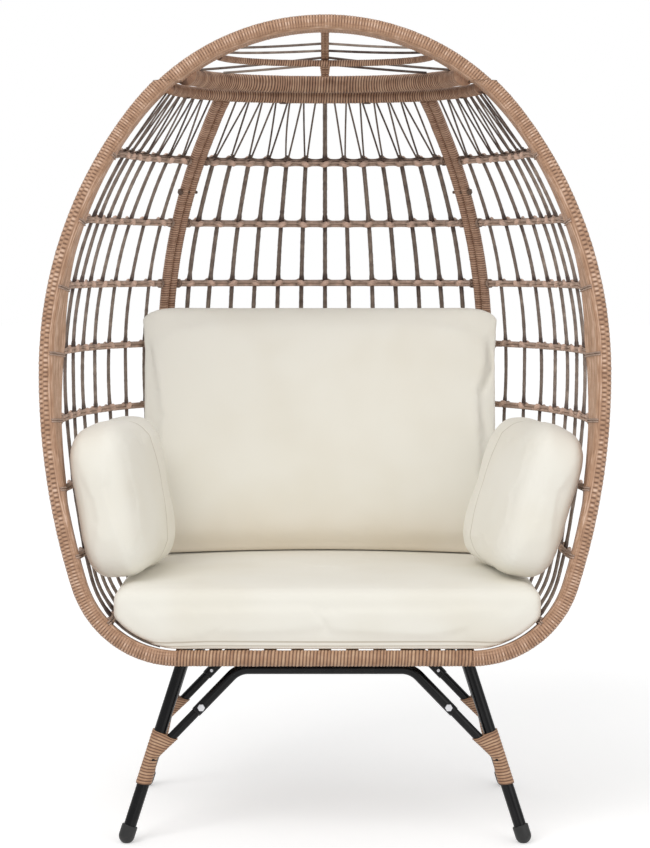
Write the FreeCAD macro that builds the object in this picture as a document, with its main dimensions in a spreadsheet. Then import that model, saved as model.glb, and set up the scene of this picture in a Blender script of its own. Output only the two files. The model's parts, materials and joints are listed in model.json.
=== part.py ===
"""Free-standing wicker egg chair: a rattan-wrapped shell on four splayed legs, with four loose cushions.

Millimetres, +Z up, the chair faces -Y, and the origin is on the floor under the middle of its box.
The shell follows one surface: a leaning egg outline in front, a second egg profile for the depth
behind it, and a plan that squares up towards the seat. Every tube, strand and cushion reads it.
"""

import FreeCAD
import Part
import math
import os

import Sketcher

Vector = FreeCAD.Vector
SHEET = "Sizes"
UP = Vector(0, 0, 1)

# How finely round and curved forms are cut into flats.
FLATNESS = 1e-7
BEND_CHORDS = 4
TUBE_SIDES = 14
POST_SIDES = 8
RIB_SIDES = 6
BOLT_SIDES = 8
HEAD_SIDES = 6
CAP_SIDES = 16
FRONT_TURNS = [-36 * i for i in range(6)]
REAR_TURNS = [180, 120, 60, 0]
REAR_FLAT = math.cos(math.radians(30))
CAP_TURNS = (12, 36, 62, 90)
CROWN_BAR_CHORDS = 14
RIB_CHORDS = 12
SPINE_CHORDS = 5
STRAND_CHORDS = 4
PLAN_STEPS = 60

# Room that the sloping cut at the seam needs to the rim's next ring, in tube radii.
SEAM_ROOM = 0.85
# Shares of a stretch at which uprights bend between the foot bar and the lowest row.
FOOT_BENDS = (0, 0.12, 0.42)
# First lace from the rim, and spare room past the last, as shares of their spacing.
LACE_START, LACE_SPARE = 0.6, 0.7
# Crown strands: start on the spine and end on the arch, above the rib as shares of its drop to the bar.
ARCH_FAN = ((0.80, 0.30), (0.42, 0.02))
# Crown strands that end on the bar: start on the spine, and the angle round the plan of their end.
BAR_FAN = ((0.04, 22), (-0.34, 42))
SPINE_EDGE = 88
BOLT_IN_SLEEVE = 0.6
PLATE_INBOARD = 0.7

# Seat cushion: millimetres above its underside, then shares of its swell with the draw-in there.
SEAT_WALL = (0, 6, 16, 34, 60)
SEAT_TOP = ((0, 0), (0.5, 26), (0.85, 70), (1, 140))
SEAT_CORNER, SEAT_INBOARD, SEAT_EDGE = 18, 26, 30
# Back cushion: shares of half its width at its rings.
BACK_RINGS = (0, 0.25, 0.5, 0.75, 0.9, 0.97, 1)
BACK_ROUNDING, BACK_END_THIN, BACK_END_LOW = 0.75, 0.92, 0.2
# Pillow: share of half its thickness, and how far the ring there is drawn in.
PILLOW_RINGS = ((1, 78), (0.86, 44), (0.5, 6), (0, 0))
PILLOW_ROUNDING = 0.5

SIZES = (
    ("egg_width", 1000, "outside width of the front rim"),
    ("egg_rise", 1146, "front rim from underside to top, along its lean"),
    ("seat_underside", 314, "floor to the underside of the rim"),
    ("rim_lean", 5.5, "degrees that the rim leans back"),
    ("shell_depth", 600, "deepest stretch of the shell behind the rim"),
    ("plan_power", 2.3, "roundness of the plan above the seat"),
    ("base_power", 6, "roundness of the plan at the seat"),
    ("rim_radius", 14, "wrapped front tube of the rim"),
    ("rim_step", 62, "longest flat along the rim"),
    ("rim_turn", 12, "degrees that the rim turns between flats, at most"),
    ("band_radius", 10, "wrapped rear tube of the rim"),
    ("band_depth", 46, "rear tube behind the front tube"),
    ("band_inset", 16, "rear tube inboard of the front tube"),
    ("crown_inset", 5, "crown arch inside the line of the rim"),
    ("crown_bar_radius", 14, "wrapped rear bar of the crown"),
    ("crown_strand_width", 5, "strand of the crown, both ways"),
    ("post_radius", 8.5, "wrapped posts and panel bars"),
    ("post_angle", 51, "degrees round the plan from rim to post"),
    ("joint_gap", 0.2, "clearance between bolted panels"),
    ("warp_width", 5, "upright strand, both ways"),
    ("warp_proud", 2, "upright strand above the top row"),
    ("lace_width", 2.4, "thin strand above the top row"),
    ("lace_depth", 4, "the same strand, through the wall"),
    ("row_height", 11, "woven row"),
    ("row_thickness", 3, "each of the two strands of a row"),
    ("weave_gap", 0.6, "clearance where strands cross"),
    ("spine_width", 13, "strip over the middle of the crown"),
    ("spine_thickness", 7, "the same strip"),
    ("rib_radius", 6, "wrapped rib of the crown"),
    ("frame_radius", 9, "steel tube of the seat frame"),
    ("frame_inboard", 33, "side rails of the seat frame inside the ends of the front bar"),
    ("frame_lift", 12, "seat frame above the underside of the rim"),
    ("strap_width", 22, "flat rattan straps of the seat"),
    ("strap_thickness", 2.5, "the same straps"),
    ("leg_radius", 11, "leg tube"),
    ("front_leg_top", 93, "front legs at the top, behind the rim line"),
    ("front_leg_foot", 41, "front legs at the floor"),
    ("plate_thickness", 4, "welded plate on each leg"),
    ("plate_width", 52, "the same plate, across the chair"),
    ("plate_length", 56, "the same plate, along the rail"),
    ("cap_radius", 14, "rubber foot cap"),
    ("cap_height", 18, "sleeve of the cap above its ball"),
    ("cap_sink", 1.5, "ball of the cap cut flat on the floor"),
    ("stub_radius", 8, "stub welded to the leg"),
    ("stub_low", 142, "stub meets the leg above the floor"),
    ("brace_drop", 16, "cross bar below the underside of the rim"),
    ("brace_radius", 9.5, "cross bar tube"),
    ("brace_bend", 42, "bend of the cross bar"),
    ("sleeve_depth", 34, "stub inside the cross bar"),
    ("wrap_low", 100, "rattan on the leg from this level"),
    ("wrap_high", 187, "rattan on the leg to this level"),
    ("wrap_thickness", 3, "rattan on the leg"),
    ("fit_gap", 0.15, "clearance of a sleeve or a bolt hole"),
    ("bolt_radius", 3, "bolt shanks"),
    ("bolt_spread", 14, "each plate bolt from the middle of its leg"),
    ("bolt_step", 3, "rows from one bolt through the posts to the next"),
    ("head_radius", 6.5, "bolt heads, across corners"),
    ("head_height", 4, "bolt heads"),
)
SHARES = (
    ("front_setback", "shell_depth", 0.516, "front of the rim line ahead of the origin"),
    ("widest_rise", "egg_rise", 0.452, "rim underside to its widest level"),
    ("flat_half", "egg_width", 0.254, "half of the straight bottom of the rim"),
    ("corner_radius", "egg_width", 0.194, "rim corner beside the straight bottom"),
    ("crown_radius", "egg_width", 0.434, "rim over the top"),
    ("deepest_rise", "egg_rise", 0.349, "rim underside to the deepest level"),
    ("floor_depth", "shell_depth", 0.7333, "flat part of the profile behind the rim"),
    ("heel_radius", "shell_depth", 0.2167, "profile corner behind the seat"),
    ("nape_radius", "shell_depth", 0.2, "profile over the top"),
    ("squaring_rise", "egg_rise", 0.3665, "rise over which the plan squares up"),
    ("seam_rise", "egg_rise", 0.8918, "rim underside to the seam under the crown"),
    ("top_row_rise", "egg_rise", 0.781, "rim underside to the top woven row"),
    ("row_pitch", "egg_rise", 0.1034, "from one woven row to the next"),
    ("rib_rise", "egg_rise", 0.94066, "rim underside to the rib of the crown"),
    ("frame_corner", "egg_width", 0.054, "bend of the seat frame"),
    ("frame_rear", "shell_depth", 0.6483, "rear rail behind the rim line"),
    ("leg_top_half", "egg_width", 0.249, "middle to the top of a leg"),
    ("leg_foot_half", "egg_width", 0.345, "middle to the foot of a leg"),
    ("rear_leg_top", "shell_depth", 0.5517, "rear legs at the top, behind the rim line"),
    ("rear_leg_foot", "shell_depth", 0.7267, "rear legs at the floor"),
    ("brace_half", "egg_width", 0.152, "middle to the corner of the cross bar"),
    ("stub_length", "egg_width", 0.146, "stub from the middle of the leg"),
    ("seat_half", "egg_width", 0.374, "half the width of the seat cushion"),
    ("back_width", "egg_width", 0.69, "back cushion"),
    ("back_height", "egg_rise", 0.41, "back cushion"),
    ("back_middle", "shell_depth", 0.765, "foot of the back cushion behind the rim line"),
    ("pillow_length", "shell_depth", 0.5417, "arm pillow"),
    ("pillow_height", "egg_rise", 0.2487, "arm pillow"),
    ("pillow_thickness", "egg_width", 0.124, "arm pillow at its middle"),
    ("left_pillow_out", "egg_width", 0.352, "middle of the left pillow from the middle of the chair"),
    ("right_pillow_out", "egg_width", 0.344, "middle of the right pillow from the middle of the chair"),
)
WHOLES = {alias: whole for alias, whole, _, _ in SHARES}
COUNTS = (
    ("back_warps", 13, "upright strands of the back panel"),
    ("side_warps", 7, "upright strands of each side panel"),
    ("woven_rows", 8, "woven rows, top to bottom"),
    ("long_straps", 9, "seat straps from front to rear"),
    ("cross_straps", 4, "seat straps from side to side"),
)
CUSHION_SIZES = (
    ("seat_front", 5, "front of the seat cushion behind the rim line"),
    ("seat_lift", 28.5, "underside of the seat cushion above the underside of the rim"),
    ("seat_thickness", 105, "edge of the seat cushion"),
    ("crown_height", 8, "swell of the seat cushion over its edge"),
    ("cushion_clearance", 15, "gap from the seat cushion to the weave"),
    ("cushion_gap", 0.6, "gap between one cushion and the next"),
    ("back_thickness", 140, "back cushion at its middle"),
    ("back_bow", 84, "ends of the back cushion ahead of its middle"),
    ("back_lean", 7, "degrees that the back cushion leans back"),
    ("pillow_front", 23, "front of the arm pillows behind the rim line"),
    ("left_yaw", 10, "degrees that the left pillow turns in at the rear"),
    ("left_tilt", 10, "degrees that the left pillow leans out"),
    ("right_yaw", 12, "degrees that the right pillow turns in at the rear"),
    ("right_tilt", 18, "degrees that the right pillow leans out"),
    ("edge_share", 0.5, "cushion edge as a share of its thickness"),
    ("drawn_in", 7, "cushion sides drawn in between the corners"),
)


class EggCurve:
    """Half of an egg outline: a flat foot, then corner, side, shoulder and top arcs that meet tangent."""

    def __init__(self, flat, corner, half, widest, total, top):
        reach = half - flat
        self.flat, self.corner, self.half, self.widest = flat, corner, half, widest
        self.total, self.top = total, top
        self.side = (reach**2 + (widest - corner) ** 2 - corner**2) / (2 * (reach - corner))
        above = total - widest
        self.shoulder = (half**2 + (above - top) ** 2 - top**2) / (2 * (half - top))
        self.corner_turn = math.asin((self.side - reach) / (self.side - corner))
        self.top_turn = math.asin((self.shoulder - half) / (self.shoulder - top))

    def arcs(self, inset):
        """Each arc as its centre, radius and first and last turn from the foot, inset inwards."""
        right, up = math.pi / 2, math.pi
        return (
            (self.flat, self.corner, self.corner - inset, 0, self.corner_turn),
            (self.half - self.side, self.widest, self.side - inset, self.corner_turn, right),
            (self.half - self.shoulder, self.widest, self.shoulder - inset, right, up - self.top_turn),
            (0, self.total - self.top, self.top - inset, up - self.top_turn, up),
        )

    def half_at(self, rise, inset=0.0):
        """Half the width at a rise above the foot."""
        for x, level, radius, _, last in self.arcs(inset):
            if rise <= level - radius * math.cos(last) + 1e-9:
                return x + math.sqrt(max(radius**2 - (level - rise) ** 2, 0))
        return 0.0

    def arc_at(self, rise, inset):
        """The arc that passes a rise."""
        return next(arc for arc in self.arcs(inset) if rise <= arc[1] - arc[2] * math.cos(arc[4]))

    def trace(self, inset, step, sharpest):
        """Points from the end of the flat foot to the top, with the outward turn at each."""
        found = []
        for x, level, radius, first, last in self.arcs(inset):
            sweep = last - first
            count = math.ceil(max(radius * sweep / step, sweep / math.radians(sharpest)))
            for i in range(count + (last >= math.pi)):
                turn = first + (last - first) * i / count
                found.append((x + radius * math.sin(turn), level - radius * math.cos(turn), turn))
        return found


class Shell:
    """The surface that the rim, posts, strands and cushions follow."""

    def __init__(self, size):
        self.size = size
        self.slope = math.radians(size.rim_lean)
        self.rim_up = Vector(0, math.sin(self.slope), math.cos(self.slope))
        self.rim_back = Vector(0, math.cos(self.slope), -math.sin(self.slope))
        self.front = EggCurve(
            size.flat_half,
            size.corner_radius,
            size.egg_width / 2,
            size.widest_rise,
            size.egg_rise,
            size.crown_radius,
        )
        self.profile = EggCurve(
            size.floor_depth,
            size.heel_radius,
            size.shell_depth,
            size.deepest_rise,
            size.egg_rise,
            size.nape_radius,
        )

    def level(self, rise):
        return self.size.seat_underside + rise * math.cos(self.slope)

    def rise_at(self, level):
        return (level - self.size.seat_underside) / math.cos(self.slope)

    def plane(self, rise):
        """The Y of the rim's plane at a rise."""
        return rise * math.sin(self.slope) - self.size.front_setback

    def inset(self, rise):
        """How far inboard the rear tube of the rim stands, less towards both ends of the egg."""
        size = self.size
        foot = min(1, rise / (size.egg_width / 4))
        top = min(1, (size.egg_rise - rise) / size.corner_radius)
        return size.band_inset * foot * top

    def power(self, rise):
        size = self.size
        square = max(0, 1 - rise / size.squaring_rise)
        return size.plan_power + (size.base_power - size.plan_power) * square**2

    def point(self, angle, rise, inset=0.0, depth_inset=0.0):
        """A point of the weave: the angle runs from the right rim, 0, to the left rim, 180."""
        size = self.size
        half = self.front.half_at(rise, size.rim_radius + inset) - self.inset(rise)
        depth = self.profile.half_at(rise, size.rim_radius + depth_inset)
        turn = math.radians(angle)
        share = 2 / self.power(rise)
        across = math.copysign(abs(math.cos(turn)) ** share, math.cos(turn))
        back = abs(math.sin(turn)) ** share
        return Vector(half * across, self.plane(rise) + depth * back, self.level(rise))

    def band_angle(self, rise):
        """Where the plan passes the rear tube of the rim."""
        share = self.size.band_depth / self.profile.half_at(rise, self.size.rim_radius)
        return math.degrees(math.asin(min(1, share) ** (self.power(rise) / 2)))

    def spread(self, rise, first, last, shares):
        """Angles at shares of the length along the plan between two angles."""
        angles = [first + (last - first) * i / PLAN_STEPS for i in range(PLAN_STEPS + 1)]
        points = [self.point(angle, rise) for angle in angles]
        run = [0.0]
        for one, two in zip(points, points[1:]):
            run.append(run[-1] + (two - one).Length)
        found = []
        for share in shares:
            want = share * run[-1]
            k = max(i for i in range(PLAN_STEPS) if run[i] <= want + 1e-9)
            part = (want - run[k]) / (run[k + 1] - run[k])
            found.append(angles[k] + (angles[k + 1] - angles[k]) * part)
        return found

    def along(self, angle, rise):
        """The level direction along the plan, from the right rim towards the left."""
        step = 0.2
        ahead = self.point(min(angle + step, 180), rise) - self.point(max(angle - step, 0), rise)
        return ahead.normalize()

    def climb(self, angle, rise):
        """The direction up the weave at one point."""
        step = 6
        return (self.point(angle, rise + step) - self.point(angle, rise - step)).normalize()


def many_sided(radius, sides):
    """Corners of a regular section whose flats touch the radius, one flat at the bottom."""
    corner = radius / math.cos(math.pi / sides)
    turns = [math.pi * (2 * i + 1) / sides - math.pi / 2 for i in range(sides)]
    return [(corner * math.cos(turn), corner * math.sin(turn)) for turn in turns]


def rectangle(width, height, shift=0.0):
    """A section with its width along the first direction and its height along the second."""
    low, high = shift - height / 2, shift + height / 2
    return [(-width / 2, low), (width / 2, low), (width / 2, high), (-width / 2, high)]


def closed_wire(points):
    return Part.makePolygon(list(points) + [points[0]])


def flat_faces(corners):
    """One flat face through four corners, or two where they don't lie in a plane."""
    one, two, three, four = corners
    normal = (three - one).cross(four - two).normalize()
    if abs((two - one).dot(normal)) < FLATNESS:
        return [Part.Face(closed_wire(corners))]
    return [Part.Face(closed_wire([one, two, three])), Part.Face(closed_wire([one, three, four]))]


def ruled_solid(rings):
    """A solid with flat faces through rings of points, closed at both ends."""
    faces = [Part.Face(closed_wire(rings[0])), Part.Face(closed_wire(rings[-1]))]
    for low, high in zip(rings, rings[1:]):
        for i in range(len(low)):
            faces += flat_faces([low[i - 1], low[i], high[i], high[i - 1]])
    shell = Part.makeShell(faces)
    shell.sewShape()
    solid = Part.makeSolid(shell)
    if solid.Volume < 0:
        solid.reverse()
    return solid


def tangents(points):
    ends = [points[0]] + points + [points[-1]]
    found = []
    for before, here, after in zip(ends, points, ends[2:]):
        one, two = here - before, after - here
        total = Vector()
        for run in (one, two):
            if run.Length > 1e-9:
                total += run / run.Length
        found.append(total.normalize())
    return found


def swept(points, across, section, start=None, end=None):
    """A section along a run of points; across gives its first direction at each point.

    start and end are planes, each a point and a normal, onto which the end sections are slid, so
    that a strand seats flat on the face that it meets.
    """
    ahead, rings = tangents(points), []
    for point, forward, side in zip(points, ahead, across):
        first = (side - forward * side.dot(forward)).normalize()
        second = forward.cross(first)
        rings.append([point + first * u + second * v for u, v in section])
    if start:
        rings[0] = onto(rings[0], ahead[0], *start)
    if end:
        rings[-1] = onto(rings[-1], ahead[-1], *end)
    return ruled_solid(rings)


def mitred(points, side, section, start, end):
    """A section along a run whose edges keep its straight runs parallel, so that it never twists."""
    ahead = tangents(points)
    first = (side - ahead[0] * side.dot(ahead[0])).normalize()
    second = ahead[0].cross(first)
    ring = [points[0] + first * u + second * v for u, v in section]
    rings = []
    planes = [start] + list(zip(points[1:-1], ahead[1:-1])) + [end]
    for i, (base, normal) in enumerate(planes):
        run = (points[max(i, 1)] - points[max(i, 1) - 1]).normalize()
        ring = onto(ring, run, base, normal)
        rings.append(ring)
    return ruled_solid(rings)


def onto(ring, ahead, base, normal):
    """A ring slid along its run onto the plane through a point."""
    return [point + ahead * ((base - point).dot(normal) / ahead.dot(normal)) for point in ring]


class Chair:
    """The document, its sizes and the shapes that later pieces are cut to fit."""

    def __init__(self):
        self.doc = FreeCAD.newDocument("EggChair")
        self.sheet = self.doc.addObject("Spreadsheet::Sheet", SHEET)
        shared = tuple((alias, share, f"{note}, over {whole}") for alias, whole, share, note in SHARES)
        for row, (alias, value, note) in enumerate(SIZES + shared + COUNTS + CUSHION_SIZES, 1):
            self.sheet.set(f"A{row}", alias)
            self.sheet.set(f"B{row}", str(value))
            self.sheet.set(f"C{row}", note)
            self.sheet.setAlias(f"B{row}", alias)
        self.doc.recompute()
        self.shell = Shell(self)
        self.nodes = []

    def __getattr__(self, name):
        value = getattr(self.__dict__["sheet"], name)
        if name in WHOLES:
            return float(value) * getattr(self, WHOLES[name])
        return int(value) if name.endswith(("warps", "rows", "straps")) else float(value)

    @property
    def frame_half(self):
        """From the middle of the chair to the side rails of the seat frame."""
        return self.flat_half - self.frame_inboard

    def behind(self, distance):
        """Y of a distance behind the rim line."""
        return distance - self.front_setback

    def keep(self, thing, label):
        """Names a finished sub-part, which is then written to its own file."""
        thing.Label = label
        self.nodes.append(thing)
        return thing

    def feature(self, label, shape):
        """A sub-part whose shape is worked out from the sheet by this source."""
        thing = self.doc.addObject("Part::Feature", label)
        thing.Shape = shape
        return self.keep(thing, label)

    def bind(self, thing, **sizes):
        for field, formula in sizes.items():
            thing.setExpression(field, formula)
        return thing

    def cylinder(self, name, radius, height, base, direction):
        """A plain cylinder whose radius and height follow the sheet."""
        thing = self.doc.addObject("Part::Cylinder", name)
        self.bind(thing, Radius=radius, Height=height)
        turn = FreeCAD.Rotation(Vector(0, 0, 1), direction)
        thing.Placement = FreeCAD.Placement(base, turn)
        return thing

    def box(self, name, length, width, height, corner):
        thing = self.doc.addObject("Part::Box", name)
        self.bind(thing, Length=length, Width=width, Height=height)
        thing.Placement = FreeCAD.Placement(corner, FreeCAD.Rotation())
        return thing

    def prism(self, name, sides, radius, height, base, direction):
        """A many-sided rod, for a bolt or its hole."""
        thing = self.doc.addObject("Part::Prism", name)
        thing.Polygon = sides
        self.bind(thing, Circumradius=radius, Height=height)
        turn = FreeCAD.Rotation(Vector(0, 0, 1), direction)
        thing.Placement = FreeCAD.Placement(base, turn)
        return thing

    def join(self, name, things):
        thing = self.doc.addObject("Part::MultiFuse", name)
        thing.Shapes = things
        return thing

    def group(self, name, things):
        """Separate solids in one sub-part."""
        thing = self.doc.addObject("Part::Compound", name)
        thing.Links = things
        return thing

    def cut(self, name, base, tool):
        thing = self.doc.addObject("Part::Cut", name)
        thing.Base, thing.Tool = base, tool
        return thing

    def mirrored(self, source, label):
        """The left-hand twin of a right-hand sub-part."""
        thing = self.doc.addObject("Part::Mirroring", label)
        thing.Source, thing.Normal = source, Vector(1, 0, 0)
        return self.keep(thing, label)

    def body(self, name):
        return self.doc.addObject("PartDesign::Body", name)

    def sketch(self, body, name, role):
        """A sketch on one of the body's own origin planes."""
        thing = body.newObject("Sketcher::SketchObject", name)
        plane = next(f for f in body.Origin.OriginFeatures if f.Role == role)
        thing.AttachmentSupport = [(plane, "")]
        thing.MapMode = "FlatFace"
        return thing

    def round(self, sketch, radius, at=-1):
        """A circle about the sketch's own centre, its radius bound to the sheet."""
        sketch.addGeometry(Part.Circle(Vector(), Vector(0, 0, 1), 10))
        sketch.addConstraint(Sketcher.Constraint("Coincident", 0, 3, at, 1))
        ring = sketch.addConstraint(Sketcher.Constraint("Radius", 0, 10))
        sketch.setExpression(f"Constraints[{ring}]", radius)

    def rod(self, name, radius, length, base, direction):
        """A padded rod that starts at a point and runs along a direction."""
        body = self.body(name)
        sketch = self.sketch(body, f"{name}_section", "XY_Plane")
        self.round(sketch, radius)
        pad = body.newObject("PartDesign::Pad", f"{name}_pad")
        pad.Profile = sketch
        self.bind(pad, Length=length)
        turn = FreeCAD.Rotation(Vector(0, 0, 1), direction)
        body.Placement = FreeCAD.Placement(base, turn)
        return body


def bent_run(corners, bend):
    """Points of a run through its corners, each corner rounded to a bend in short chords."""
    points = [corners[0]]
    for before, corner, after in zip(corners, corners[1:], corners[2:]):
        one, two = (corner - before).normalize(), (after - corner).normalize()
        turn = one.getAngle(two)
        reach = bend * math.tan(turn / 2)
        centre = corner + (two - one).normalize() * (bend / math.cos(turn / 2))
        axis = one.cross(two).normalize()
        start = corner - one * reach - centre
        for i in range(BEND_CHORDS + 1):
            way = FreeCAD.Rotation(axis, math.degrees(turn) * i / BEND_CHORDS)
            points.append(centre + way.multVec(start))
    return points + [corners[-1]]


def bent_tube(corners, radius, bend, side):
    """A closed tube along a bent run, its ends square to it."""
    points = bent_run(corners, bend)
    start = points[0], (points[1] - points[0]).normalize()
    end = points[-1], (points[-1] - points[-2]).normalize()
    return mitred(points, side, many_sided(radius, TUBE_SIDES), start, end)


def plug(radius, sides, base, way, length):
    """A many-sided rod as a plain shape."""
    turn = FreeCAD.Rotation(UP, way)
    near = [base + turn.multVec(Vector(u, v, 0)) for u, v in many_sided(radius, sides)]
    return ruled_solid([near, [point + way * length for point in near]])


def rim_ring(chair, x, rise, turn):
    """The section of the two tubes wrapped together, square to the rim's line at one point."""
    up, back = chair.shell.rim_up, chair.shell.rim_back
    outward = Vector(math.sin(turn), 0, 0) - up * math.cos(turn)
    middle = Vector(x, -chair.front_setback, chair.seat_underside) + up * rise
    rear = middle + back * chair.band_depth - outward * chair.shell.inset(rise)
    ring = []
    for centre, radius, turns in (
        (middle, chair.rim_radius, FRONT_TURNS),
        (rear, chair.band_radius, REAR_TURNS),
    ):
        for degrees in turns:
            way = math.radians(degrees)
            ring.append(centre + (outward * math.cos(way) + back * math.sin(way)) * radius)
    return ring


def rim_line(chair, inset):
    """Points of the rim's line below and above the seam, which both runs share."""
    front, seam = chair.shell.front, chair.seam_rise
    room = chair.rim_radius * SEAM_ROOM
    points = front.trace(inset, chair.rim_step, chair.rim_turn)
    below = [point for point in points if point[1] < seam - room]
    above = [point for point in points if point[1] > seam + room]
    _, level, radius, _, _ = front.arc_at(seam, inset)
    at_seam = (front.half_at(seam, inset), seam, math.acos((level - seam) / radius))
    return below + [at_seam], [at_seam] + above


def seam_ring(chair, point):
    """The rim's section slid onto the level plane of the seam."""
    turn = point[2]
    ahead = Vector(math.cos(turn), 0, 0) + chair.shell.rim_up * math.sin(turn)
    seam = Vector(0, 0, chair.shell.level(chair.seam_rise))
    return onto(rim_ring(chair, *point), ahead, seam, UP)


def side_rim(chair):
    """Right half of the rim, from the front bar up to the seam under the crown."""
    lower, _ = rim_line(chair, chair.rim_radius)
    rings = [rim_ring(chair, *point) for point in lower[:-1]]
    return ruled_solid(rings + [seam_ring(chair, lower[-1])])


def crown_arch(chair):
    """The top of the rim, a little inside its line, from seam to seam."""
    _, upper = rim_line(chair, chair.rim_radius + chair.crown_inset)
    right = [seam_ring(chair, upper[0])] + [rim_ring(chair, *point) for point in upper[1:]]
    left = [[Vector(-p.x, p.y, p.z) for p in ring] for ring in right[:-1]]
    return ruled_solid(right + left[::-1])


def behind_rim(chair, rise, gap=0.0):
    """The plane of the flat at the back of the rim's rear tube."""
    shell = chair.shell
    base = Vector(0, -chair.front_setback, chair.seat_underside) + shell.rim_up * rise
    reach = chair.band_depth + chair.band_radius * REAR_FLAT + gap
    return base + shell.rim_back * reach, shell.rim_back


def bar_rises(chair):
    """The rises of the bars at the foot and at the head of every panel."""
    return chair.rim_radius, chair.seam_rise - chair.post_radius / math.cos(chair.shell.slope)


def post_shift(chair):
    """From the seam between two panels to the middle of either post."""
    return chair.post_radius + chair.joint_gap / 2


def row_rises(chair):
    return [chair.top_row_rise - i * chair.row_pitch for i in range(chair.woven_rows)]


def upright_rises(chair):
    """The rises at which posts and strands bend, from the seat up to the top row."""
    foot, last_row = chair.rim_radius, row_rises(chair)[-1]
    turn_in = [foot + (last_row - foot) * share for share in FOOT_BENDS]
    return turn_in + row_rises(chair)[::-1]


def panel_bar(chair, rise, side):
    """A wrapped bar at the head or foot of a panel, ending just short of the next panel."""
    shell, post_at = chair.shell, chair.post_angle
    steps = chair.side_warps if side else chair.back_warps - 1
    first, last = (shell.band_angle(rise), post_at) if side else (post_at, 180 - post_at)
    angles = shell.spread(rise, first, last, [i / steps for i in range(steps + 1)])
    points = [shell.point(angle, rise) for angle in angles]
    across = [UP] * len(points)
    end = (points[-1] - shell.along(last, rise) * chair.joint_gap / 2, shell.along(last, rise))
    if side:
        start = behind_rim(chair, rise)
    else:
        start = (points[0] + shell.along(first, rise) * chair.joint_gap / 2, shell.along(first, rise))
    return swept(points, across, many_sided(chair.post_radius, POST_SIDES), start, end)


def outside_foot(chair, angle, gap=0.0):
    """The plane of the outer flat of a foot bar."""
    foot = chair.rim_radius
    outward = chair.shell.along(angle, foot).cross(UP)
    return chair.shell.point(angle, foot) + outward * (chair.post_radius + gap), outward


def under_head(chair):
    """The level plane of the lower flat of the head bars."""
    rise = bar_rises(chair)[1]
    return Vector(0, 0, chair.shell.level(rise) - chair.post_radius), UP


def post(chair, shift):
    """A wrapped post up the egg; shift is along the plan from the middle of the pair."""
    shell, at = chair.shell, chair.post_angle
    rises = upright_rises(chair) + [bar_rises(chair)[1]]
    along = [shell.along(at, rise) for rise in rises]
    along[:3] = [along[3]] * 3
    points = [shell.point(at, rise) + way * shift for rise, way in zip(rises, along)]
    start = outside_foot(chair, at, chair.weave_gap)
    return swept(points, along, many_sided(chair.post_radius, POST_SIDES), start, under_head(chair))


def strand_angles(chair, rise, side):
    """Angles of the upright strands of a panel at a rise."""
    post_at = chair.post_angle
    if side:
        count, first, last = chair.side_warps, chair.shell.band_angle(rise), post_at
    else:
        count, first, last = chair.back_warps, post_at, 180 - post_at
    shares = [(i + 1) / (count + 1) for i in range(count)]
    return chair.shell.spread(rise, first, last, shares)


def warp_top(chair):
    """The rise at which an upright strand ends, just above the top row."""
    return chair.top_row_rise + chair.row_height / 2 + chair.warp_proud


def strands(chair, side):
    """The upright strands of a panel, one solid each, from the foot bar to above the top row."""
    shell = chair.shell
    rises = upright_rises(chair) + [warp_top(chair)]
    columns = list(zip(*[strand_angles(chair, rise, side) for rise in rises]))
    section = rectangle(chair.warp_width, chair.warp_width)
    solids = []
    for number, angles in enumerate(columns):
        points = [shell.point(angle, rise) for angle, rise in zip(angles, rises)]
        across = [shell.along(angle, rise) for angle, rise in zip(angles, rises)]
        across[:3] = [across[3]] * 3
        end = (points[-1], UP)
        if not side and number == chair.back_warps // 2:
            points[-1] = shell.point(90, bar_rises(chair)[1])
            end = under_head(chair)
        solids.append(swept(points, across, section, outside_foot(chair, angles[0]), end))
    return solids


def half_turn(chair, rise):
    """Half the bend of the middle strand where it crosses a row."""
    rises = upright_rises(chair)
    at = rises.index(rise)
    if at == len(rises) - 1:
        return 0.0
    here, low, high = (chair.shell.point(90, rises[at + i]) for i in (0, -1, 1))
    return (here - low).getAngle(high - here) / 2


def beside_post(chair, rise, angle, toward):
    """The outer flat of a post at a rise, as a plane square to the plan."""
    way = chair.shell.along(angle, rise) * toward
    reach = post_shift(chair) + chair.post_radius + chair.weave_gap
    return chair.shell.point(angle, rise) + way * reach, way


def rows(chair, side):
    """The woven rows of a panel: one strand outside the uprights and one inside, at every row."""
    shell, post_at, half_warp = chair.shell, chair.post_angle, chair.warp_width / 2
    solids = []
    for rise in row_rises(chair):
        ends = (shell.band_angle(rise), post_at) if side else (post_at, 180 - post_at)
        angles = [ends[0]] + strand_angles(chair, rise, side) + [ends[1]]
        points = [shell.point(angle, rise) for angle in angles]
        ups = [shell.climb(angle, rise) for angle in angles]
        if side:
            start = behind_rim(chair, rise, chair.weave_gap)
            end = beside_post(chair, rise, post_at, -1)
        else:
            start = beside_post(chair, rise, post_at, 1)
            end = beside_post(chair, rise, 180 - post_at, -1)
        kink = chair.row_height / 2 * math.tan(half_turn(chair, rise))
        reach = half_warp + chair.row_thickness / 2 + chair.weave_gap
        for shift in (reach, -reach - kink):
            section = rectangle(chair.row_height, chair.row_thickness, shift)
            solids.append(swept(points, ups, section, start, end))
    return solids


def lace_heads(chair, side):
    """Angles at which the laces reach the head bar; on the back panel from its middle to its right."""
    shell, head = chair.shell, bar_rises(chair)[1]
    count = chair.side_warps + 1 if side else chair.back_warps // 2 + 1
    shares = [(i + LACE_START) / (count + LACE_SPARE) for i in range(count)]
    first = shell.band_angle(head) if side else 90
    return shell.spread(head, first, chair.post_angle, shares)


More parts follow.
